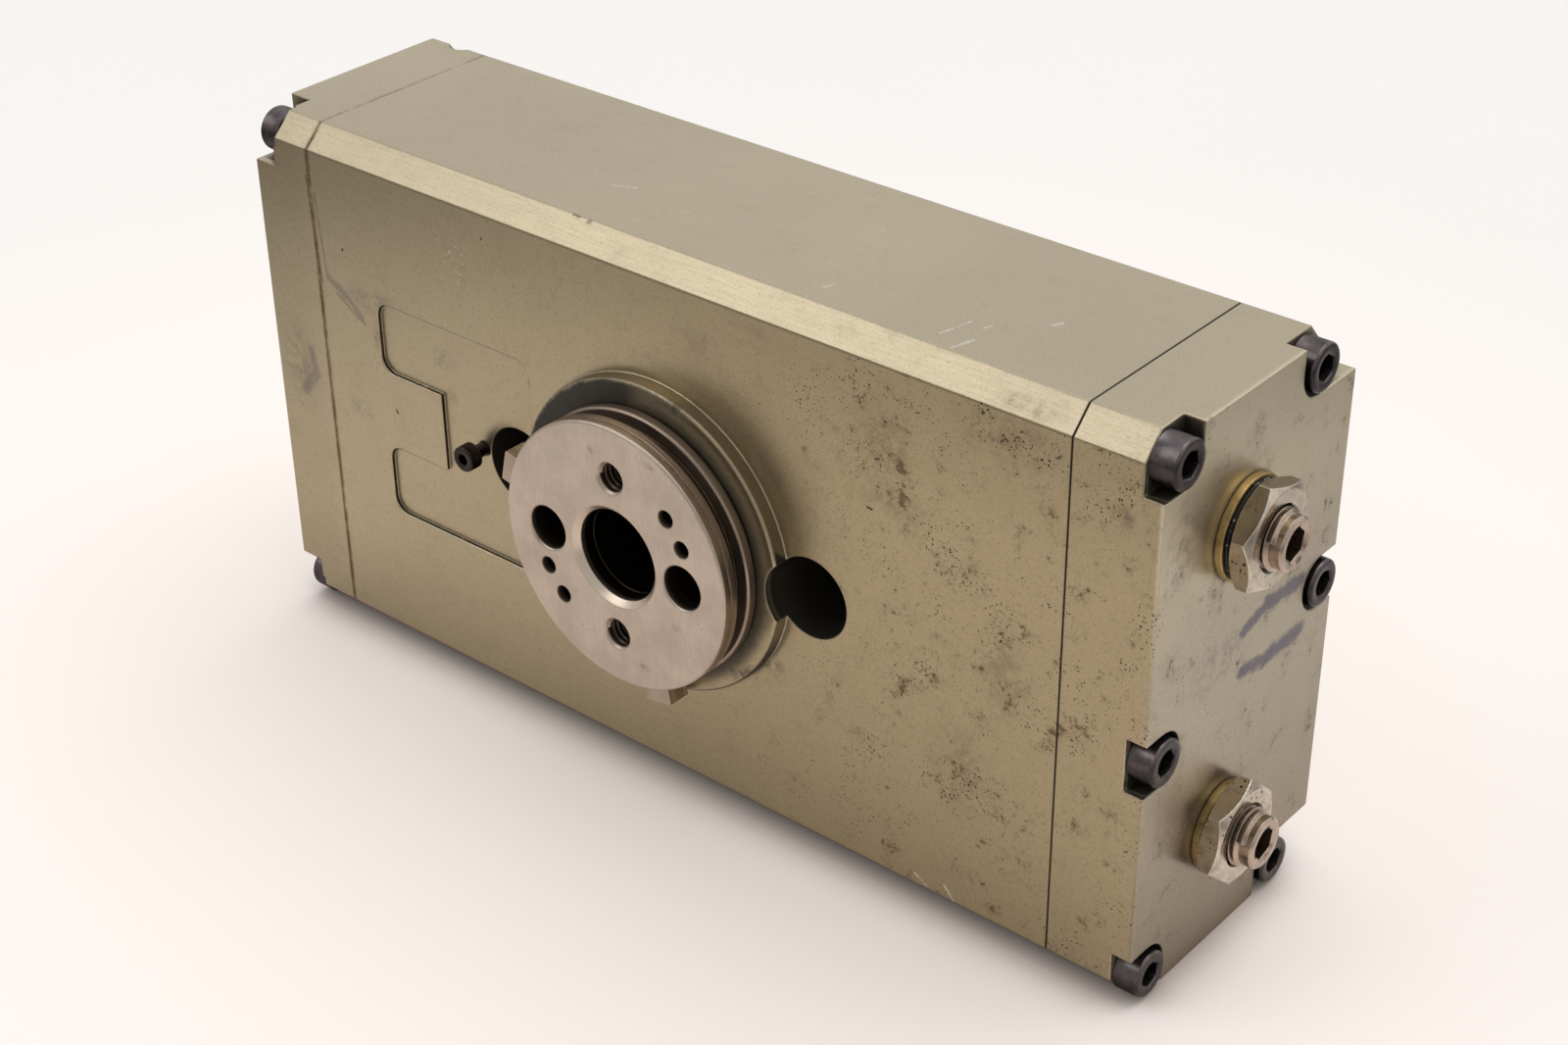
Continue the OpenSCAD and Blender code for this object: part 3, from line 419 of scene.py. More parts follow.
CHALK = {
    "top": ((51.2, 18.3, 51.8, 20.6, 0.5), (52, 21.4, 52.4, 24.2, 0.4),
            (55.4, 15.8, 56.3, 19.5, 0.7), (55.2, 23.6, 55.8, 24.9, 0.5),
            (62.5, 30.7, 63.3, 32, 0.9), (28.4, 19.4, 29, 20.8, 0.5),
            (-22, 26.8, -18.4, 28.4, 0.4)),
    "front": ((54, -44, 56.5, -45.5, 0.45), (60, -43.6, 62, -45.8, 0.5))}
PEN_STROKES = {"right": ((36.4, 7.2, 42.3, 8.8, 2.9), (42.3, 8.8, 51.9, 8.2, 3.8),
                         (36.7, -0.4, 43.4, -1.5, 3.1), (43.4, -1.5, 53.5, -1.4, 3.7))}


def on_face(face, pair, across):
    """Two measures along a face in millimetres and one across it in metres, as X, Y and Z."""
    three = [v * MM for v in pair]
    three.insert(FACES[face][0], across)
    return tuple(three)


def stains(where, marks):
    """Mask of soft uneven stains."""
    masks = []
    for face, rows in marks.items():
        _, level, depth = FACES[face]
        for x, y, half_x, half_y, *own_depth in rows:
            size = on_face(face, (half_x, half_y), (own_depth or [depth])[0] * MM)
            masks.append(blot(where, on_face(face, (x, y), level), size, 420.0))
    return either(*masks)


def strokes(where, marks, grain=900.0):
    """Mask of straight ragged strokes."""
    masks = []
    for face, rows in marks.items():
        level = FACES[face][1]
        for *ends, width in rows:
            start, end = on_face(face, ends[:2], level), on_face(face, ends[2:], level)
            masks.append(stroke(where, start, end, width * MM, grain))
    return either(*masks)


def skin_depth(where):
    """Distance of a place below the housing's outer faces, where the recess counts as outer."""
    s = sizes()
    x, y, z = split(where)
    front = y - (FRONT_Y + s.recess_depth)
    back = BACK_Y - y
    top = HALF_H - abs(z)
    front_edge = front + top - (s.front_chamfer - s.recess_depth)
    back_edge = (back / s.back_chamfer_y + top / s.back_chamfer_z - 1.0) * s.back_chamfer_y
    depth = front
    for other in (back, top, front_edge * 0.7, back_edge * 0.7, RIGHT_X - x, x - LEFT_X):
        depth = calc("MINIMUM", depth, other)
    return depth


def in_sensor_bores(where):
    """1 on the walls of the two blind sensor bores, which are cut through the boss as well."""
    s = sizes()
    x, y, z = split(where)
    radius, bottom = s.sensor_bore_d / 2, FRONT_Y + s.sensor_bore_depth
    return (ramp(from_axis(abs(x) - s.sensor_bore_x, z), radius + 0.15 * MM, radius)
            * ramp(y, BOSS_Y + 0.4 * MM, BOSS_Y + 1.6 * MM)
            * ramp(y, bottom + 2 * MM, bottom + MM))


def boss_grease_and_shade(where):
    """Black grease on the boss's face round the flange, at its upper left, and a ring of grease
    and painted shade all round the flange's foot.
    """
    x, y, z = split(where)
    far = from_axis(x, z) + noise(where, 420.0, 5.0, 0.7) * (1.4 * MM)
    around = calc("ARCTAN2", z, x)
    sweep = ramp(around, 1.35, 1.75) * ramp(around, 2.95, 2.75)
    thick = ramp(far, 29.0 * MM, 28.0 * MM) * sweep
    # Painted shade and grease on the boss's face right round the flange.
    grease_and_shade_ring = ramp(far, 28.0 * MM, 25.2 * MM) * 0.85
    return either(thick, grease_and_shade_ring) * ramp(y, BOSS_Y + 0.4 * MM, BOSS_Y + 0.2 * MM)


def anodised():
    """Hard-anodised aluminium: clouded, specked, stained, dirty in corners, worn on edges, with
    painted shade and highlights.
    """
    mat, shader, where, facing = material("Anodised aluminium")
    c = finish()
    x, y, z = split(where)
    _, face_y, face_z = split(facing)
    # Tone: upright faces carry a brown film, the front chamfers are brushed bright, and the front
    # and the right end get painted shade and highlight
    mottle = noise(where, 170.0, 8.0, 0.78)
    fine = noise(where, 2600.0, 3.0, 0.7)
    grain = noise(where, 4200.0, 3.0, 0.6, stretch=(0.03, 1.0, 1.0))
    tone = mix(shade(c.anodising, 0.95), shade(c.anodising, 1.05),
               ramp(noise(where, 16.0, 4.0, 0.55), 0.3, 0.7))
    front = ramp(face_y, -0.75, -0.9)
    film = front * (ramp(x, -60 * MM, 50 * MM) * 0.28 + 0.52)
    tone = mix(tone, c.film, film + (1.0 - abs(face_z)) * 0.12)
    # Painted shade: the front darkens towards its top and bottom and at the left cap, in a darker
    # copy of the film colour.
    painted_front_shade = ramp(abs(z), 22 * MM, 46 * MM, 0.32) + ramp(x, -78 * MM, -86 * MM, 0.15)
    tone = mix(tone, shade(c.film, 0.6), front * painted_front_shade)
    tone = mix(tone, c.handled, ramp(abs(x), RIGHT_X - MM, RIGHT_X) * 0.35)
    collar = ramp(y, FRONT_Y - 0.1 * MM, FRONT_Y - 0.3 * MM) * ramp(face_y, -0.7, -0.4) * 0.5
    tone = mix(tone, c.oil_and_shade, collar)
    slope = ramp(face_z, 0.5, 0.65) * ramp(face_y, -0.5, -0.65)
    tone = mix(tone, c.anodising_pale, slope * 0.4)
    tone = mix(tone, c.oil_and_shade, ramp(grain, 0.35, 0.7) * (slope * 0.1 + 0.04))
    tone = mix(tone, c.grime_and_shade, ramp(fine, 0.5, 0.75) * 0.3)
    # The right end face darkens towards its bottom, partly brown stain and partly painted shade,
    # and a painted highlight lightens it towards its top.
    right_end = ramp(x, RIGHT_X - MM, RIGHT_X)
    tone = mix(tone, c.oil_and_shade, right_end * ramp(z, 8 * MM, -44 * MM) * 0.4)
    tone = mix(tone, shade(c.anodising, 1.3), right_end * ramp(z, 8 * MM, 34 * MM) * 0.8)
    # Brown clouds and dark specks, thickest in the stains and at the right of the front
    stained = stains(where, OIL_STAINS)
    amount = either(front * ramp(x, 0.0, 50 * MM, 0.7), right_end * 0.6) + 0.35
    cluster = ramp(mottle, 0.52, 0.68) * amount
    browned = either(stained * 0.42, cluster * 0.25)
    tone = mix(tone, shade(c.rust, 0.85), browned)
    crowd = amount + stained * 0.8
    crowding = crowd * (cluster + 0.4) * 0.15
    flecks = ramp(noise(where, 800.0, 8.0, 0.85) + crowding, 0.66, 0.74)
    tone = mix(tone, shade(c.rust, 0.55), flecks * 0.7)
    speck = either(specks(where, 2500.0, crowd * 1.9), specks(where, 850.0, crowd * 0.8))
    tone = mix(tone, c.grime_and_shade, speck * 0.8)
    # Marks of handling
    tone = mix(tone, c.smudge, stains(where, SMUDGES) * 0.45)
    tone = mix(tone, c.smudge, strokes(where, SCUFFS, 420.0) * 0.38)
    tone = mix(tone, c.rust, strokes(where, RUST_MARKS) * 0.6)
    tone = mix(tone, c.grime_and_shade, strokes(where, DARK_MARKS) * 0.85)
    tone = mix(tone, c.chalk, strokes(where, CHALK) * ramp(fine, 0.4, 0.6) * 0.9)
    tone = mix(tone, c.chalk, specks(where, 1300.0, 1.5) * stains(where, DUST) * 0.7)
    tone = mix(tone, c.pen, strokes(where, PEN_STROKES, 500.0) * 0.76)
    # Grease, and the painted shade round the flange's foot, go on in near-black.
    grease_and_shade = either(stains(where, GREASE), boss_grease_and_shade(where))
    tone = mix(tone, shade(c.grime_and_shade, 0.45), grease_and_shade * 0.94)
    # Worn edges, then dirt and painted shade in corners, dark seams, painted shade and dirt on the
    # recess walls, painted shade under faces that look down, and painted shade in notches and
    # bores
    edges = worn_edges(where, 0.3 * MM, 1.2 * MM)
    tone = mix(tone, c.anodising_pale, edges["Wear"] * 0.45)
    # Dirt and painted shade in corners.
    tone = mix(tone, c.grime_and_shade, edges["DirtAndShade"] * 0.85)
    tone = seam_tone(x, face_z, mottle, tone)
    # Painted shade and dirt on the recess walls.
    wall = recess_wall(x, y, z, face_y) * ramp(mottle, 0.2, 0.5)
    tone = mix(tone, shade(c.oil_and_shade, 0.25), wall * 0.95)
    # Painted shade on the faces that look down.
    under = ramp(face_z, -0.2, -0.5) * ramp(face_z, -0.97, -0.9) * 0.9
    tone = mix(tone, shade(c.grime_and_shade, 0.6), under)
    # Painted shade deep in the notches and in the sensor bores, which the base colour takes below.
    inside = ramp(skin_depth(where), 0.12 * MM, 0.5 * MM)
    inside = inside * ramp(openness(where.tree, 5 * MM), 0.82, 0.5)
    inside = either(inside, in_sensor_bores(where)) * 0.96
    # Dirt, grease, stains and painted shade make the surface less metallic and rougher.
    dirt_and_shade = either(edges["DirtAndShade"], inside, grease_and_shade, under, browned * 0.8)
    height = fine * 0.5 + grain * slope * 0.4 - either(speck, flecks)
    connect(shader, {
        "Base Color": mix(tone, shade(c.grime_and_shade, 0.3), inside),
        "Metallic": (1.0 - dirt_and_shade) * 0.93,
        "Roughness": mottle * 0.14 + dirt_and_shade * 0.25 + 0.26,
        "Normal": bump(height, 0.25, 0.06 * MM, edges["Normal"])})
    return mat


def seam_tone(x, face_z, mottle, tone):
    """Near-black seam at the right cap, and a rusty one at the left that fades on the top."""
    c = finish()
    far = abs(abs(x) - SEAM_X)
    right = ramp(far, 0.28 * MM, 0.1 * MM) * ramp(x, -MM, MM)
    tone = mix(tone, shade(c.grime_and_shade, 0.5), right * 0.92)
    left = ramp(far, 0.8 * MM, 0.15 * MM) * ramp(x, MM, -MM)
    fade = 0.85 - ramp(face_z, 0.8, 0.95) * 0.6
    return mix(tone, shade(c.rust, 0.7), left * fade * ramp(mottle, 0.3, 0.6))


def recess_wall(x, y, z, face_y):
    """Mask of the milled recess's walls."""
    deep = FRONT_Y + sizes().recess_depth
    below = (ramp(y, FRONT_Y + 0.12 * MM, FRONT_Y + 0.3 * MM)
             * ramp(y, deep + 0.05 * MM, deep - 0.02 * MM))
    across = (ramp(x, -76 * MM, -75 * MM) * ramp(x, -20 * MM, -21 * MM)
              * ramp(abs(z), 44 * MM, 43 * MM))
    return below * across * ramp(face_y, -0.9, -0.5)


def metal(name, base, metallic=0.9, roughness=0.32, stain=0.3, spread=0.2, round_mm=0.15,
          wear=0.5, side=0.0, under=0.0):
    """Machined metal with uneven tone, stains, specks, dirt and painted shade in corners and
    hollows, and worn edges.

    side is how brown the faces along X are; under is how much painted shade the faces that look
    down get, and how much darker the screws nearer the middle are.
    """
    mat, shader, where, facing = material(name)
    c = finish()
    mottle = noise(where, 420.0, 5.0, 0.65)
    tone = mix(shade(base, 1 - spread), shade(base, 1 + spread), ramp(mottle, 0.3, 0.7))
    cloud = ramp(noise(where, 230.0, 7.0, 0.75), 0.5, 0.7)
    tone = mix(tone, c.oil_and_shade, cloud * stain)
    face_x, _, face_z = split(facing)
    along = ramp(abs(face_x), 0.7, 0.3, side) * (ramp(face_z, 0.3, 0.9) + 1.0)
    tone = mix(tone, shade(c.oil_and_shade, 1.2), along)
    # Painted shade on the faces that look down.
    tone = mix(tone, shade(c.grime_and_shade, 0.5), ramp(face_z, 0.75, -0.3, under))
    inner = ramp(abs(split(where)[0]), 75 * MM, 70 * MM, under)
    tone = mix(tone, shade(c.grime_and_shade, 0.8), inner)
    speck = specks(where, 1500.0, 1.0 + 2.5 * stain)
    tone = mix(tone, c.grime_and_shade, speck * stain * 2.0)
    edges = worn_edges(where, round_mm * MM, 0.9 * MM)
    # Dirt and painted shade in corners.
    tone = mix(tone, c.grime_and_shade, edges["DirtAndShade"] * 0.9)
    tone = mix(tone, shade(base, 1.9), edges["Wear"] * wear)
    # Painted shade deep in hollows such as sockets and thread roots.
    deep = ramp(openness(where.tree, 5 * MM), 0.4, 0.12, 0.9)
    rough = mottle * 0.16 + (roughness - 0.08) + cloud * stain * 0.3
    connect(shader, {
        "Base Color": mix(tone, shade(c.grime_and_shade, 0.3), deep),
        "Metallic": metallic,
        "Roughness": rough + edges["DirtAndShade"] * 0.3,
        "Normal": bump(mottle * 0.3 - speck, 0.25, 0.05 * MM, edges["Normal"])})
    return mat


def flange_steel():
    """Ground face, brown turned rim, rust hairline, and painted shade in the groove, tapped holes
    and bore.
    """
    mat, shader, where, _ = material("Ground steel")
    c, s = finish(), sizes()
    x, y, z = split(where)
    radius = from_axis(x, z)
    mouth_r = s.mouth_d / 2
    face = ramp(y, 0.5 * MM, 0.2 * MM)
    mottle = noise(where, 110.0, 6.0, 0.65)
    grind = noise(where, 1800.0, 3.0, 0.6, stretch=(1.0, 1.0, 0.1))
    tone = mix(shade(c.flange, 0.85), shade(c.flange, 1.1), ramp(mottle, 0.3, 0.7))
    tone = mix(tone, c.flange_rim, ramp(grind, 0.4, 0.7) * 0.15)
    # Turned rim: rings across the depth
    rings = noise(where, 900.0, 3.0, 0.6, stretch=(0.05, 4.0, 0.05))
    rim = mix(shade(c.flange_rim, 0.7), shade(c.flange_rim, 1.35), ramp(rings, 0.35, 0.65))
    tone = mix(rim, tone, face)
    line = ramp(abs(y - s.rim_line_y), 0.24 * MM, 0.08 * MM)
    line = line * ramp(radius, FLANGE_R - 0.6 * MM, FLANGE_R - 0.3 * MM)
    tone = mix(tone, shade(c.rust, 0.7), line)
    # Painted shade on the groove floor, in the tapped holes and in the bore behind its mouth
    groove_end = s.groove_y + s.groove_w
    groove = (ramp(y, s.groove_y - 0.05 * MM, s.groove_y + 0.1 * MM)
              * ramp(y, groove_end + 0.02 * MM, groove_end - 0.05 * MM)
              * ramp(radius, FLANGE_R - 0.15 * MM, FLANGE_R - 0.7 * MM))
    tone = mix(tone, shade(c.oil_and_shade, 0.35), groove * 0.9)
    holes = (ramp(y, 0.5 * MM, 1.4 * MM) * ramp(radius, FLANGE_R - 4 * MM, FLANGE_R - 5 * MM)
             * ramp(radius, mouth_r + 0.3 * MM, mouth_r + 0.6 * MM))
    mouth = (ramp(radius, mouth_r + 0.6 * MM, mouth_r + 0.3 * MM)
             * ramp(y, 1.5 * MM, 2.2 * MM))
    speck = specks(where, 1300.0, 0.9)
    tone = mix(tone, c.oil_and_shade, stains(where, FLANGE_SPOTS) * 0.6)
    tone = mix(tone, c.grime_and_shade, speck * 0.65)
    edges = worn_edges(where, 0.2 * MM, 0.8 * MM)
    # Dirt and painted shade in corners.
    tone = mix(tone, c.grime_and_shade, edges["DirtAndShade"] * 0.7)
    tone = mix(tone, shade(c.flange, 1.4), edges["Wear"] * 0.7)
    # Painted highlight on the bore's mouth chamfer.
    lip = (ramp(y, 0.03 * MM, 0.1 * MM) * ramp(y, 1.4 * MM, 1.1 * MM)
           * ramp(radius, mouth_r + 1.4 * MM, mouth_r + 1.2 * MM))
    tone = mix(tone, shade(c.flange, 1.3), lip)
    tone = mix(tone, shade(c.oil_and_shade, 0.25), holes * 0.88)
    connect(shader, {
        "Base Color": mix(tone, shade(c.oil_and_shade, 0.1), mouth * 0.95),
        "Metallic": 0.85,
        "Roughness": mottle * 0.14 + face * 0.08 + 0.24,
        "Normal": bump((grind + rings) * 0.35 - speck, 0.2, 0.05 * MM, edges["Normal"])})
    return mat


def soft(name, base):
    """Rubber or plastic with a mottled skin and pale crumbs."""
    mat, shader, where, _ = material(name)
    mottle = noise(where, 700.0, 4.0, 0.6)
    tone = mix(base, shade(base, 2.4), ramp(mottle, 0.45, 0.75))
    connect(shader, {
        "Base Color": mix(tone, finish().anodising, specks(where, 1700.0, 3.0) * 0.6),
        "Roughness": mottle * 0.2 + 0.5,
        "Normal": bump(mottle, 0.5, 0.12 * MM)})
    return mat


FINISHES = {}


def get_finish(slot):
    """The material of one of the record's slots, made once."""
    if slot not in FINISHES:
        c = finish()
        makers = {
            "anodised_aluminium": anodised,
            "ground_steel": flange_steel,
            "black_screws": lambda: metal(
                "Black oxide", c.black_oxide, roughness=0.28, stain=0.2, spread=0.3,
                round_mm=0.04, wear=0.15, under=0.75),
            "black_rubber": lambda: soft("Black rubber", c.rubber),
            "guide_plastic": lambda: soft("Guide plastic", c.plastic),
            "nickel_nuts": lambda: metal(
                "Nickel plate", c.nickel, metallic=0.95, roughness=0.22, stain=0.5, spread=0.15,
                round_mm=0.25, wear=1.0, side=0.35),
            "zinc_washers": lambda: metal(
                "Yellow zinc", c.zinc, metallic=0.85, roughness=0.34, stain=0.35),
            "brass": lambda: metal("Brass", c.brass),
            "stop_screw_steel": lambda: metal(
                "Stop screw steel", c.screw_steel, metallic=0.95, roughness=0.22, stain=0.2,
                spread=0.12, round_mm=0.1, wear=0.9, side=0.3),
            "hardened_steel": lambda: metal("Hardened steel", c.hard_steel),
        }
        FINISHES[slot] = makers[slot]()
    return FINISHES[slot]


# ---------------------------- mesh helpers

def slot_of(node):
    return next(s["material_slot"] for s in frame["record"]["subparts"] if s["node"] == node)


def body_of(node):
    return next(b for b, names in frame["record"]["behaviour"]["bodies"].items() if node in names)


def add_piece(name, bm, node, smooth=35, replaces=True):
    """Makes an object of bm with the finish and the body of a CAD node, and stands for it."""
    mesh = bpy.data.meshes.new(name)
    bmesh.ops.recalc_face_normals(bm, faces=bm.faces)
    bm.to_mesh(mesh)
    bm.free()
    obj = bpy.data.objects.new(name, mesh)
    bpy.context.collection.objects.link(obj)
    mesh.shade_smooth()
    mesh.set_sharp_from_angle(angle=math.radians(smooth))
    mesh.materials.append(get_finish(slot_of(node)))
    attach(obj, body_of(node))
    if replaces:
        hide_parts(node)
    return obj


def cad_copy(node):
    """A bmesh of a CAD node with its triangles merged into flat faces."""
    bm = bmesh.new()
    bm.from_mesh(frame["nodes"][node].data)
    bmesh.ops.remove_doubles(bm, verts=bm.verts, dist=2e-6)
    bmesh.ops.dissolve_limit(bm, angle_limit=math.radians(0.5), verts=bm.verts, edges=bm.edges,
                             delimit={"NORMAL"})
    return bm


def break_edges(obj, width):
    """Breaks the sharp edges of a piece by a small bevel, with its large faces shaded flat."""
    mod = obj.modifiers.new("Broken edges", "BEVEL")
    mod.width = width
    mod.segments = 2
    mod.limit_method = "ANGLE"
    mod.angle_limit = math.radians(35)
    mod.use_clamp_overlap = False
    mod.miter_outer = "MITER_ARC"
    flat = obj.modifiers.new("Flat faces", "WEIGHTED_NORMAL")
    flat.weight = 100
    flat.keep_sharp = True


def islands(node):
    """Low and high corners of each separate solid of a CAD node."""
    bm = cad_copy(node)
    left, boxes = set(bm.verts), []
    while left:
        solid, border = set(), [left.pop()]
        while border:
            vert = border.pop()
            solid.add(vert)
            near = {e.other_vert(vert) for e in vert.link_edges} & left
            left -= near
            border.extend(near)
        places = [v.co for v in solid]
        boxes.append(tuple(Vector([pick(p[k] for p in places) for k in range(3)])
                           for pick in (min, max)))
    bm.free()
    return sorted(boxes, key=lambda box: tuple(box[0]))


def polar(vert):
    """Distance from Z and angle round it."""
    return math.hypot(vert.co.x, vert.co.y), math.atan2(vert.co.y, vert.co.x)


def hexagon(across_flats, turn=0.0):
    """Radius of a hexagon at an angle from one of its corners."""
    return across_flats / 2 / math.cos(turn % SIXTH - SIXTH / 2)


def spun(rows):
    """Spins a profile of (radius, height, hexagon?) rows round Z and returns the bmesh.

    A hexagon row's radius is its size across flats.
    """
    bm = bmesh.new()
    verts = [bm.verts.new((row[0], 0, row[1])) for row in rows]
    for a, b in zip(verts, verts[1:]):
        bm.edges.new((a, b))
    if rows[0][:2] == rows[-1][:2]:
        bmesh.ops.remove_doubles(bm, verts=bm.verts, dist=SAME)
    bmesh.ops.spin(bm, geom=bm.verts[:] + bm.edges[:], axis=(0, 0, 1), cent=(0, 0, 0),
                   steps=COLUMNS, angle=TURN, use_merge=True)
    sides = {(round(r, 7), round(h, 7)) for r, h, *hexagonal in rows if hexagonal}
    for vert in bm.verts:
        far, turn = polar(vert)
        if (round(far, 7), round(vert.co.z, 7)) in sides:
            vert.co.xy = vert.co.xy * (hexagon(far, turn) / far)
    bmesh.ops.remove_doubles(bm, verts=bm.verts, dist=SAME)
    return bm


def knurl(bm, low, high, radius, depth):
    """Pushes every other column of a head's side inwards."""
    for vert in bm.verts:
        far, turn = polar(vert)
        odd = round(turn * COLUMNS / TURN) % 2
        if odd and low < vert.co.z < high and abs(far - radius) < 10 * SAME:
            vert.co.xy = vert.co.xy * ((radius - depth) / radius)


def arc(centre_r, centre_z, radius, start, steps=5):
    """Rows of a quarter round edge, from an angle in degrees."""
    angles = [math.radians(start + 90 * k / steps) for k in range(steps + 1)]
    return [(centre_r + radius * math.cos(a), centre_z + radius * math.sin(a)) for a in angles]


def add_thread(bm, radius, depth, pitch, low, high, columns=48):
    """A helical ridge from a core of the radius, outwards or, with a minus depth, inwards."""
    foot = radius - math.copysign(0.02 * MM, depth)
    shape = [(foot, -0.47), (radius + depth, -0.08), (radius + depth, 0.08), (foot, 0.47)]
    verts = [bm.verts.new((r, 0, low + (h + 0.5) * pitch)) for r, h in shape]
    edges = [bm.edges.new((verts[k], verts[k - 1])) for k in range(len(verts))]
    steps = round(((high - low) / pitch - 1) * columns)
    ends = bmesh.ops.spin(bm, geom=verts + edges, axis=(0, 0, 1), cent=(0, 0, 0), steps=steps,
                          angle=TURN * steps / columns, dvec=(0, 0, pitch / columns))
    bm.faces.new(verts)
    bm.faces.new([v for v in ends["geom_last"] if isinstance(v, bmesh.types.BMVert)])


def aim(direction, place, turn=0.0):
    """Turns +Z to a direction and moves to a place."""
    facing = Vector(direction).to_track_quat("Z", "Y").to_matrix().to_4x4()
    return Matrix.Translation(place) @ facing @ Matrix.Rotation(turn, 4, "Z")


def join(parts):
    """One bmesh of (bmesh, matrix) pairs, whose bmeshes it frees."""
    whole = bmesh.new()
    for part, matrix in parts:
        mesh = bpy.data.meshes.new("part")
        part.to_mesh(mesh)
        part.free()
        mesh.transform(matrix)
        whole.from_mesh(mesh)
        bpy.data.meshes.remove(mesh)
    return whole


def round_piece(node):
    """Thickness, radius and left foot of a round CAD node that lies along X."""
    low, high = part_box(node)
    middle = (low + high) / 2
    return high[0] - low[0], (high[1] - low[1]) / 2, Vector((low[0], *middle[1:]))


def socket_screw(shank_d, shank_length, head_d, head_h, socket, rounding, thread=None):
    """Socket head screw along +Z with its head on z = 0, knurled, its socket drilled.

    thread is the pitch and the length of a thread close under the head.
    """
    shank_r, head_r, wall = shank_d / 2, head_d / 2, hexagon(socket)
    sink = 0.05 * socket
    floor = head_h * 0.42
    rows = [(0, -shank_length), (shank_r - rounding, -shank_length),
            (shank_r, rounding - shank_length), (shank_r, 0), (head_r - 0.25 * rounding, 0),
            (head_r, 0.25 * rounding), (head_r, 0.6 * rounding),
            (head_r, head_h - 1.25 * rounding)]
    rows += arc(head_r - rounding, head_h - rounding, rounding, 0)
    rows += [(wall + 0.35 * sink, head_h), (wall, head_h - 0.2 * sink),
             (socket, head_h - sink, True), (socket, floor, True),
             (socket * 0.42, floor), (0, floor - socket * 0.22)]
    bm = spun(rows)
    knurl(bm, 0.5 * rounding, head_h - 1.2 * rounding, head_r, sizes().knurl)
    if thread:
        pitch, reach = thread
        ridge = 0.28 * MM
        add_thread(bm, shank_r - ridge, ridge, pitch, -reach, 0)
    return bm


def lock_nut(thick):
    """Hexagon nut with chamfered corners and a countersunk thread, along +Z from z = 0."""
    s = sizes()
    bore = s.stop_d / 2 + 0.02 * MM
    flat = s.nut_af / 2 - 0.35 * MM
    skin = 0.001 * MM
    rows = [(bore, 0), (flat, 0), (s.nut_af, skin, True), (s.nut_af, thick / 2, True),
            (s.nut_af, thick - skin, True), (flat, thick),
            (s.nut_sink_d / 2, thick), (bore, thick - (s.nut_sink_d - s.stop_d) / 2), (bore, 0)]
    bm = spun(rows)
    for vert in bm.verts:
        far, _ = polar(vert)
        if far > flat + 10 * SAME and abs(vert.co.z - thick / 2) > thick / 4:
            drop = (far - flat) * math.tan(math.radians(30))
            vert.co.z = thick - drop if vert.co.z > thick / 2 else drop
    return bm


def corner_turn(node):
    """Angle of a corner of a hexagon piece about X, as aim() counts it."""
    low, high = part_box(node)
    facing = aim((1, 0, 0), (low + high) / 2).inverted()
    places = [facing @ v.co for v in frame["nodes"][node].data.vertices]
    reach = max(math.hypot(p.x, p.y) for p in places)
    turns = [6 * math.atan2(p.y, p.x) for p in places if math.hypot(p.x, p.y) > 0.99 * reach]
    return math.atan2(sum(map(math.sin, turns)), sum(map(math.cos, turns))) / 6


# ---------------------------- operators

class ACTUATOR_OT_plain_nodes(bpy.types.Operator):
    """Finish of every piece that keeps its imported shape"""
    bl_idname = "actuator.plain_nodes"
    bl_label = "Inner pieces"

    def execute(self, context):
        for node, obj in frame["nodes"].items():
            obj.data.materials.clear()
            obj.data.materials.append(get_finish(slot_of(node)))
        return {"FINISHED"}


class ACTUATOR_OT_housing(bpy.types.Operator):
    """Body, end caps and rear cover with broken edges"""
    bl_idname = "actuator.housing"
    bl_label = "Housing"

    def execute(self, context):
        for name, node in (("body_block", "main_body"), ("left_cap", "left_end_cap"),
                           ("right_cap", "right_end_cap"), ("rear_cover_plate", "rear_cover")):
            break_edges(add_piece(name, cad_copy(node), node), sizes().edge)
        return {"FINISHED"}


class ACTUATOR_OT_output(bpy.types.Operator):
    """Output flange with its threads, and the two switch lugs"""
    bl_idname = "actuator.output"
    bl_label = "Output"

    def execute(self, context):
        s = sizes()
        flange = cad_copy("output_shaft")
        self.widen_mouth(flange, s)
        break_edges(add_piece("flange_and_shaft", flange, "output_shaft"), s.fine_edge)
        for name, node in (("lug_left", "left_switch_lug"), ("lug_lower", "lower_switch_lug")):
            break_edges(add_piece(name, cad_copy(node), node), s.fine_edge)
        holes = []
        for height in (s.tapped_pcd / 2, -s.tapped_pcd / 2):
            bm = bmesh.new()
            add_thread(bm, s.tapped_d / 2, -0.32 * MM, s.tapped_pitch, 0.4 * MM, 6.2 * MM)
            holes.append((bm, aim((0, 1, 0), (0, 0, height))))
        add_piece("tapped_hole_threads", join(holes), "output_shaft", replaces=False)
        return {"FINISHED"}

    def widen_mouth(self, flange, s):
        """Widens the small chamfer at the mouth of the bore."""
        mouth = s.mouth_d / 2
        ring = [v for v in flange.verts if v.co.y < 0.5 * MM
                and math.hypot(v.co.x, v.co.z) < mouth + 0.5 * MM]
        if not ring:
            raise RuntimeError("The flange's bore has no chamfer at its face")
        for vert in ring:
            if vert.co.y < 0.1 * MM:
                wide = (mouth + s.mouth_chamfer) / math.hypot(vert.co.x, vert.co.z)
                vert.co.x, vert.co.z = vert.co.x * wide, vert.co.z * wide
            else:
                vert.co.y = s.mouth_chamfer


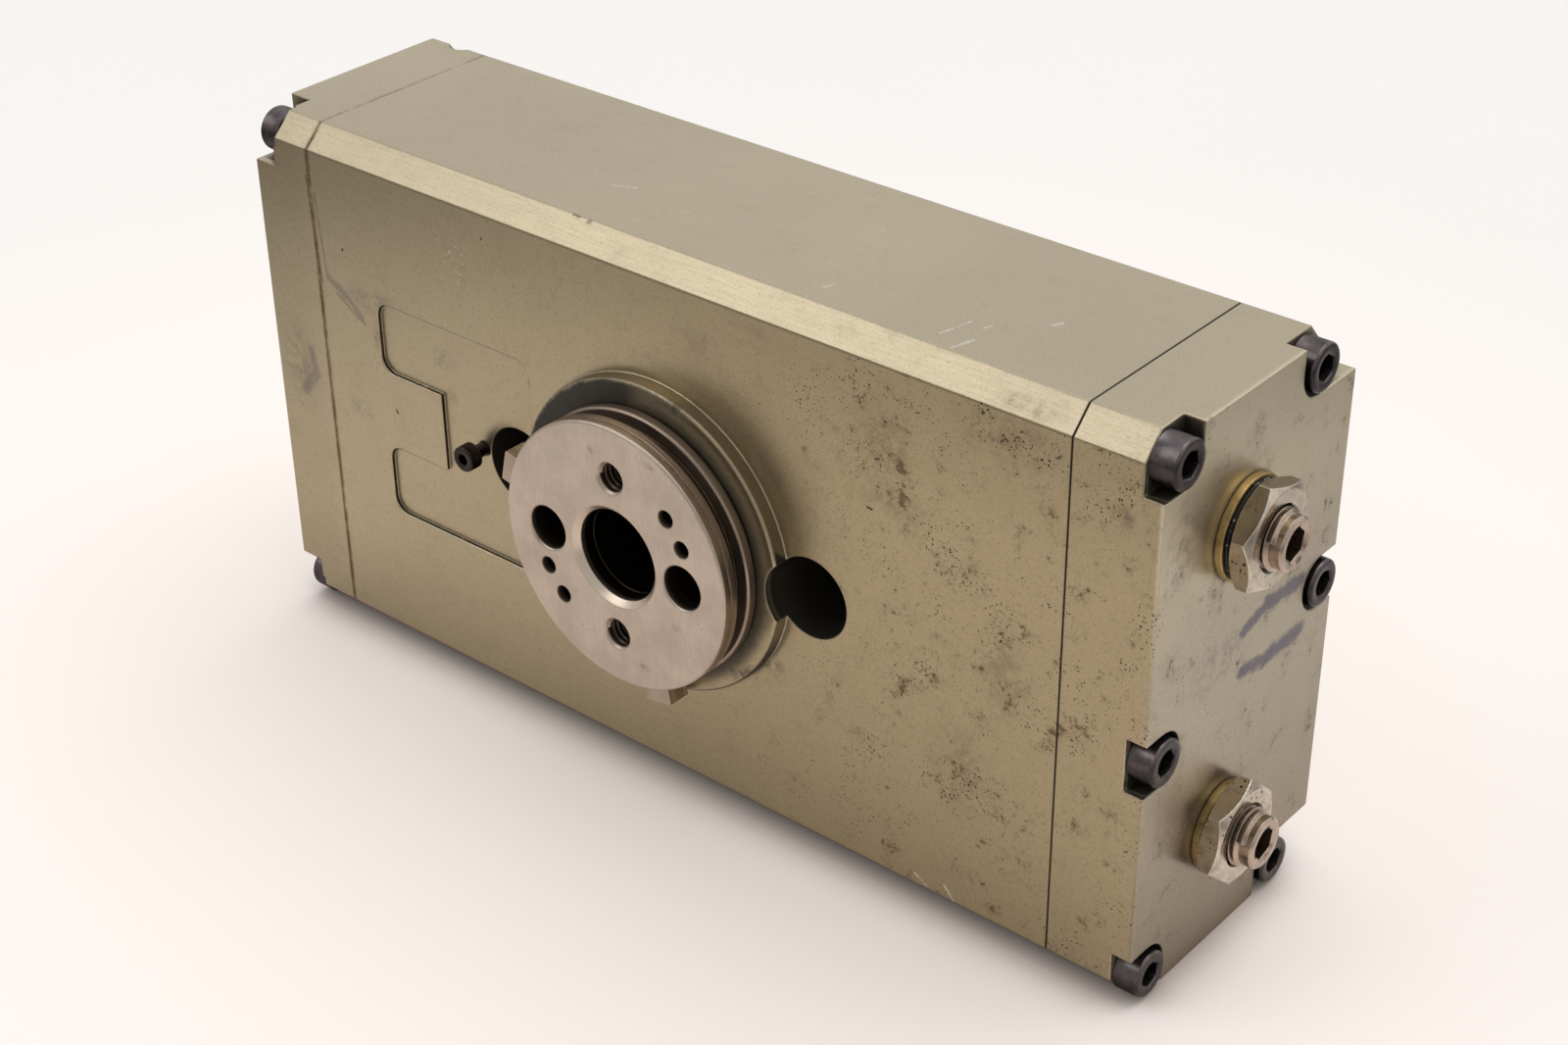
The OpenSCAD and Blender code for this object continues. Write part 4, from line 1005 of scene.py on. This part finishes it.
class ACTUATOR_OT_screws(bpy.types.Operator):
    """Knurled socket head screws of the caps, the rear cover and the sensor clamp"""
    bl_idname = "actuator.screws"
    bl_label = "Screws"

    def execute(self, context):
        s = sizes()
        cap = (s.cap_shank_d, s.cap_head_h, s.cap_socket, 0.55 * MM)
        cover = (s.cover_shank_d, s.cover_head_h, s.cover_socket, 0.25 * MM)
        clamp = (s.clamp_shank_d, s.clamp_head_h, s.clamp_socket, 0.3 * MM)
        self.screws("left_screws", "left_cap_screws", (-1, 0, 0), *cap)
        self.screws("right_screws", "right_cap_screws", (1, 0, 0), *cap)
        self.screws("cover_screws", "rear_cover_screws", (0, 1, 0), *cover)
        self.screws("clamp_screw", "sensor_clamp_screw", (0, -1, 0), *clamp, (0.45 * MM, 3 * MM))
        return {"FINISHED"}

    def screws(self, name, node, out, shank_d, head_h, socket, rounding, thread=None):
        """A screw in each solid of a node, with the head outwards."""
        axis = Vector(out)
        parts = []
        for number, (low, high) in enumerate(islands(node)):
            size = high - low
            whole = abs(size.dot(axis))
            head_d = next(wide for wide, along in zip(size, out) if not along)
            screw = socket_screw(shank_d, whole - head_h, head_d, head_h, socket, rounding, thread)
            seat = (low + high) / 2 + axis * (whole / 2 - head_h)
            parts.append((screw, aim(out, seat, number * 0.37)))
        add_piece(name, join(parts), node)


class ACTUATOR_OT_stops(bpy.types.Operator):
    """Threaded stop screws, lock nuts, sealing washers and the rubber bead"""
    bl_idname = "actuator.stops"
    bl_label = "End stops"

    def execute(self, context):
        s = sizes()
        for side in ("upper", "lower"):
            self.stop_screw(s, side)
            node = side + "_lock_nut"
            thick, _, foot = round_piece(node)
            nut = lock_nut(thick)
            nut.transform(aim((1, 0, 0), foot, corner_turn(node)))
            add_piece(side + "_nut", nut, node, smooth=28)
            self.ring(side + "_washer", side + "_sealing_washer", 0.2 * MM, 0.2 * MM)
        self.ring("nut_bead", "upper_nut_seal", 0.35 * MM, 0.34 * MM, 0.3 * MM)
        return {"FINISHED"}

    def stop_screw(self, s, side):
        node = side + "_stop_screw"
        whole, _, foot = round_piece(node)
        radius, depth, wall = s.stop_d / 2 - 0.05 * MM, 0.61 * s.stop_pitch, s.stop_socket
        core = radius - depth
        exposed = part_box(node)[1][0] - RIGHT_X
        start = whole - exposed - s.stop_travel - 2 * s.stop_pitch
        floor = whole - s.stop_socket
        rows = [(0, 0), (core, 0), (radius, depth), (radius, start), (core, start + depth),
                (core, whole - 0.4 * MM), (core - 0.4 * MM, whole),
                (hexagon(wall) + 0.3 * MM, whole), (wall, whole - 0.45 * MM, True),
                (wall, floor, True), (wall * 0.4, floor), (0, floor - MM)]
        bm = spun(rows)
        add_thread(bm, core, depth, s.stop_pitch, start, whole - 1.3 * MM)
        bm.transform(aim((1, 0, 0), foot, 0.3))
        add_piece(side + "_screw", bm, node)

    def ring(self, name, node, gap, rounding, sunk=0.0):
        """A washer or bead in a ring node's place, a gap round the screw, its edges rounded."""
        thick, radius, foot = round_piece(node)
        bore, rounded = sizes().stop_d / 2 + gap, radius - sunk - rounding
        rows = [(bore, 0), *arc(rounded, rounding, rounding, -90),
                *arc(rounded, thick - rounding, rounding, 0), (bore, thick), (bore, 0)]
        bm = spun(rows)
        bm.transform(aim((1, 0, 0), foot))
        add_piece(name, bm, node)


CAMERA_PLACE = (0.25842, -0.26120, 0.22841)
CAMERA_TURN = (-40.363, 31.224, -0.659)  # azimuth, elevation and roll in degrees
CAMERA_LENS = 61.23  # for a sensor 36 mm wide
LAMP_TARGET = Vector((0, 0.03, 0))


def area_lamp(name, place, size, power):
    lamp = bpy.data.lights.new(name, "AREA")
    lamp.size, lamp.energy = size, power
    obj = bpy.data.objects.new(name, lamp)
    obj.matrix_world = aim(Vector(place) - LAMP_TARGET, place)
    bpy.context.collection.objects.link(obj)


def floor_paper():
    """Pale paper: it reads as nearly white, and away from the part reflections find it darker."""
    mat, shader, where, _ = material("Floor paper")
    tree = where.tree
    far = vector("LENGTH", where)
    near = ramp(far, 0.34, 0.08)
    tone = mix(rgb("F8F7F5"), rgb("F6ECE7"), near)
    tone = mix(tone, rgb("D8CFC8"), noise(where, 6.0, 4.0, 0.5) * 0.06)
    seen = put(tree, "LightPath", {}, "Is Camera Ray")
    glossy = Value(seen.socket.node.outputs["Is Glossy Ray"])
    dim = ramp(far, 0.1, 0.4, 0.88)
    tone = mix(tone, rgb("5A5450"), dim * (1.0 - seen))
    # Painted contact shadow: the paper turns warm brown where the part stands close.
    contact = openness(tree, 0.009, 8)
    tone = mix(tone, rgb("A58E7C"), ramp(contact, 0.85, 0.4, 0.7))
    # Painted light: the paper glows to the camera, and less to reflections, brighter near the part
    # and not where it touches.
    lift = (near * 0.15 + 0.1) * contact * (seen + glossy * (1.0 - dim) * 0.5)
    connect(shader, {"Base Color": tone, "Roughness": 0.75, "Emission Color": rgb("FBF6F3"),
                     "Emission Strength": lift})
    return mat


class ACTUATOR_OT_stage(bpy.types.Operator):
    """Floor, lights, background and camera"""
    bl_idname = "actuator.stage"
    bl_label = "Stage"

    def execute(self, context):
        scene = context.scene
        scene.view_settings.view_transform = "Standard"
        self.camera(scene)
        self.floor(context)
        self.world(scene)
        area_lamp("Key", (-0.75, -0.75, 0.95), 0.9, 3.0)
        area_lamp("Overhead", (0.2, 0.5, 1.5), 1.4, 7.0)
        return {"FINISHED"}

    def camera(self, scene):
        data = bpy.data.cameras.new("Camera")
        data.sensor_width, data.lens = 36, CAMERA_LENS
        data.clip_start, data.clip_end = 0.01, 20
        camera = bpy.data.objects.new("Camera", data)
        scene.collection.objects.link(camera)
        azimuth, elevation, roll = map(math.radians, CAMERA_TURN)
        camera.matrix_world = (Matrix.Translation(CAMERA_PLACE)
                               @ Matrix.Rotation(-azimuth, 4, "Z")
                               @ Matrix.Rotation(TURN / 4 - elevation, 4, "X")
                               @ Matrix.Rotation(roll, 4, "Z"))
        scene.camera = camera

    def floor(self, context):
        bm = bmesh.new()
        bmesh.ops.create_grid(bm, x_segments=1, y_segments=1, size=4.0)
        bmesh.ops.translate(bm, verts=bm.verts, vec=(0, 0, CAD_BOX[0].z))
        mesh = bpy.data.meshes.new("Floor")
        bm.to_mesh(mesh)
        bm.free()
        floor = bpy.data.objects.new("Floor", mesh)
        context.collection.objects.link(floor)
        mesh.materials.append(floor_paper())

    def world(self, scene):
        """Bright to the camera, and a dimmer room to everything else, lightest at the back."""
        world = bpy.data.worlds.new("Studio")
        scene.world = world
        world.use_nodes = True
        tree = world.node_tree
        tree.nodes.clear()
        back = split(put(tree, "TexCoord", {}, "Generated"))[1]
        room = ramp(back, -0.7, 0.5, 0.3) + 0.5
        seen = put(tree, "LightPath", {}, "Is Camera Ray")
        strength = put(tree, "MapRange", {"Value": seen, "To Min": room, "To Max": 1.0})
        sky = put(tree, "Background", {"Color": rgb("F8F6F4"), "Strength": strength})
        put(tree, "OutputWorld", {"Surface": sky})


OPERATORS = (ACTUATOR_OT_plain_nodes, ACTUATOR_OT_housing, ACTUATOR_OT_output,
             ACTUATOR_OT_screws, ACTUATOR_OT_stops, ACTUATOR_OT_stage)


class ACTUATOR_PT_panel(bpy.types.Panel):
    """Lists the operators that dress the actuator"""
    bl_label = "Actuator"
    bl_idname = "ACTUATOR_PT_panel"
    bl_space_type = "VIEW_3D"
    bl_region_type = "UI"
    bl_category = "Actuator"

    def draw(self, context):
        for operator in OPERATORS:
            self.layout.operator(operator.bl_idname)
        for settings in (context.scene.actuator_colours, context.scene.actuator_sizes):
            box = self.layout.box()
            for name in settings.__annotations__:
                box.prop(settings, name)


CLASSES = (ActuatorColours, ActuatorSizes, *OPERATORS, ACTUATOR_PT_panel)


def register():
    for cls in CLASSES:
        bpy.utils.register_class(cls)
    bpy.types.Scene.actuator_colours = bpy.props.PointerProperty(type=ActuatorColours)
    bpy.types.Scene.actuator_sizes = bpy.props.PointerProperty(type=ActuatorSizes)


def unregister():
    del bpy.types.Scene.actuator_sizes
    del bpy.types.Scene.actuator_colours
    for cls in reversed(CLASSES):
        bpy.utils.unregister_class(cls)


def main():
    register()
    for operator in OPERATORS:
        space, name = operator.bl_idname.split(".")
        getattr(getattr(bpy.ops, space), name)()


if __name__ == "__main__":
    main()
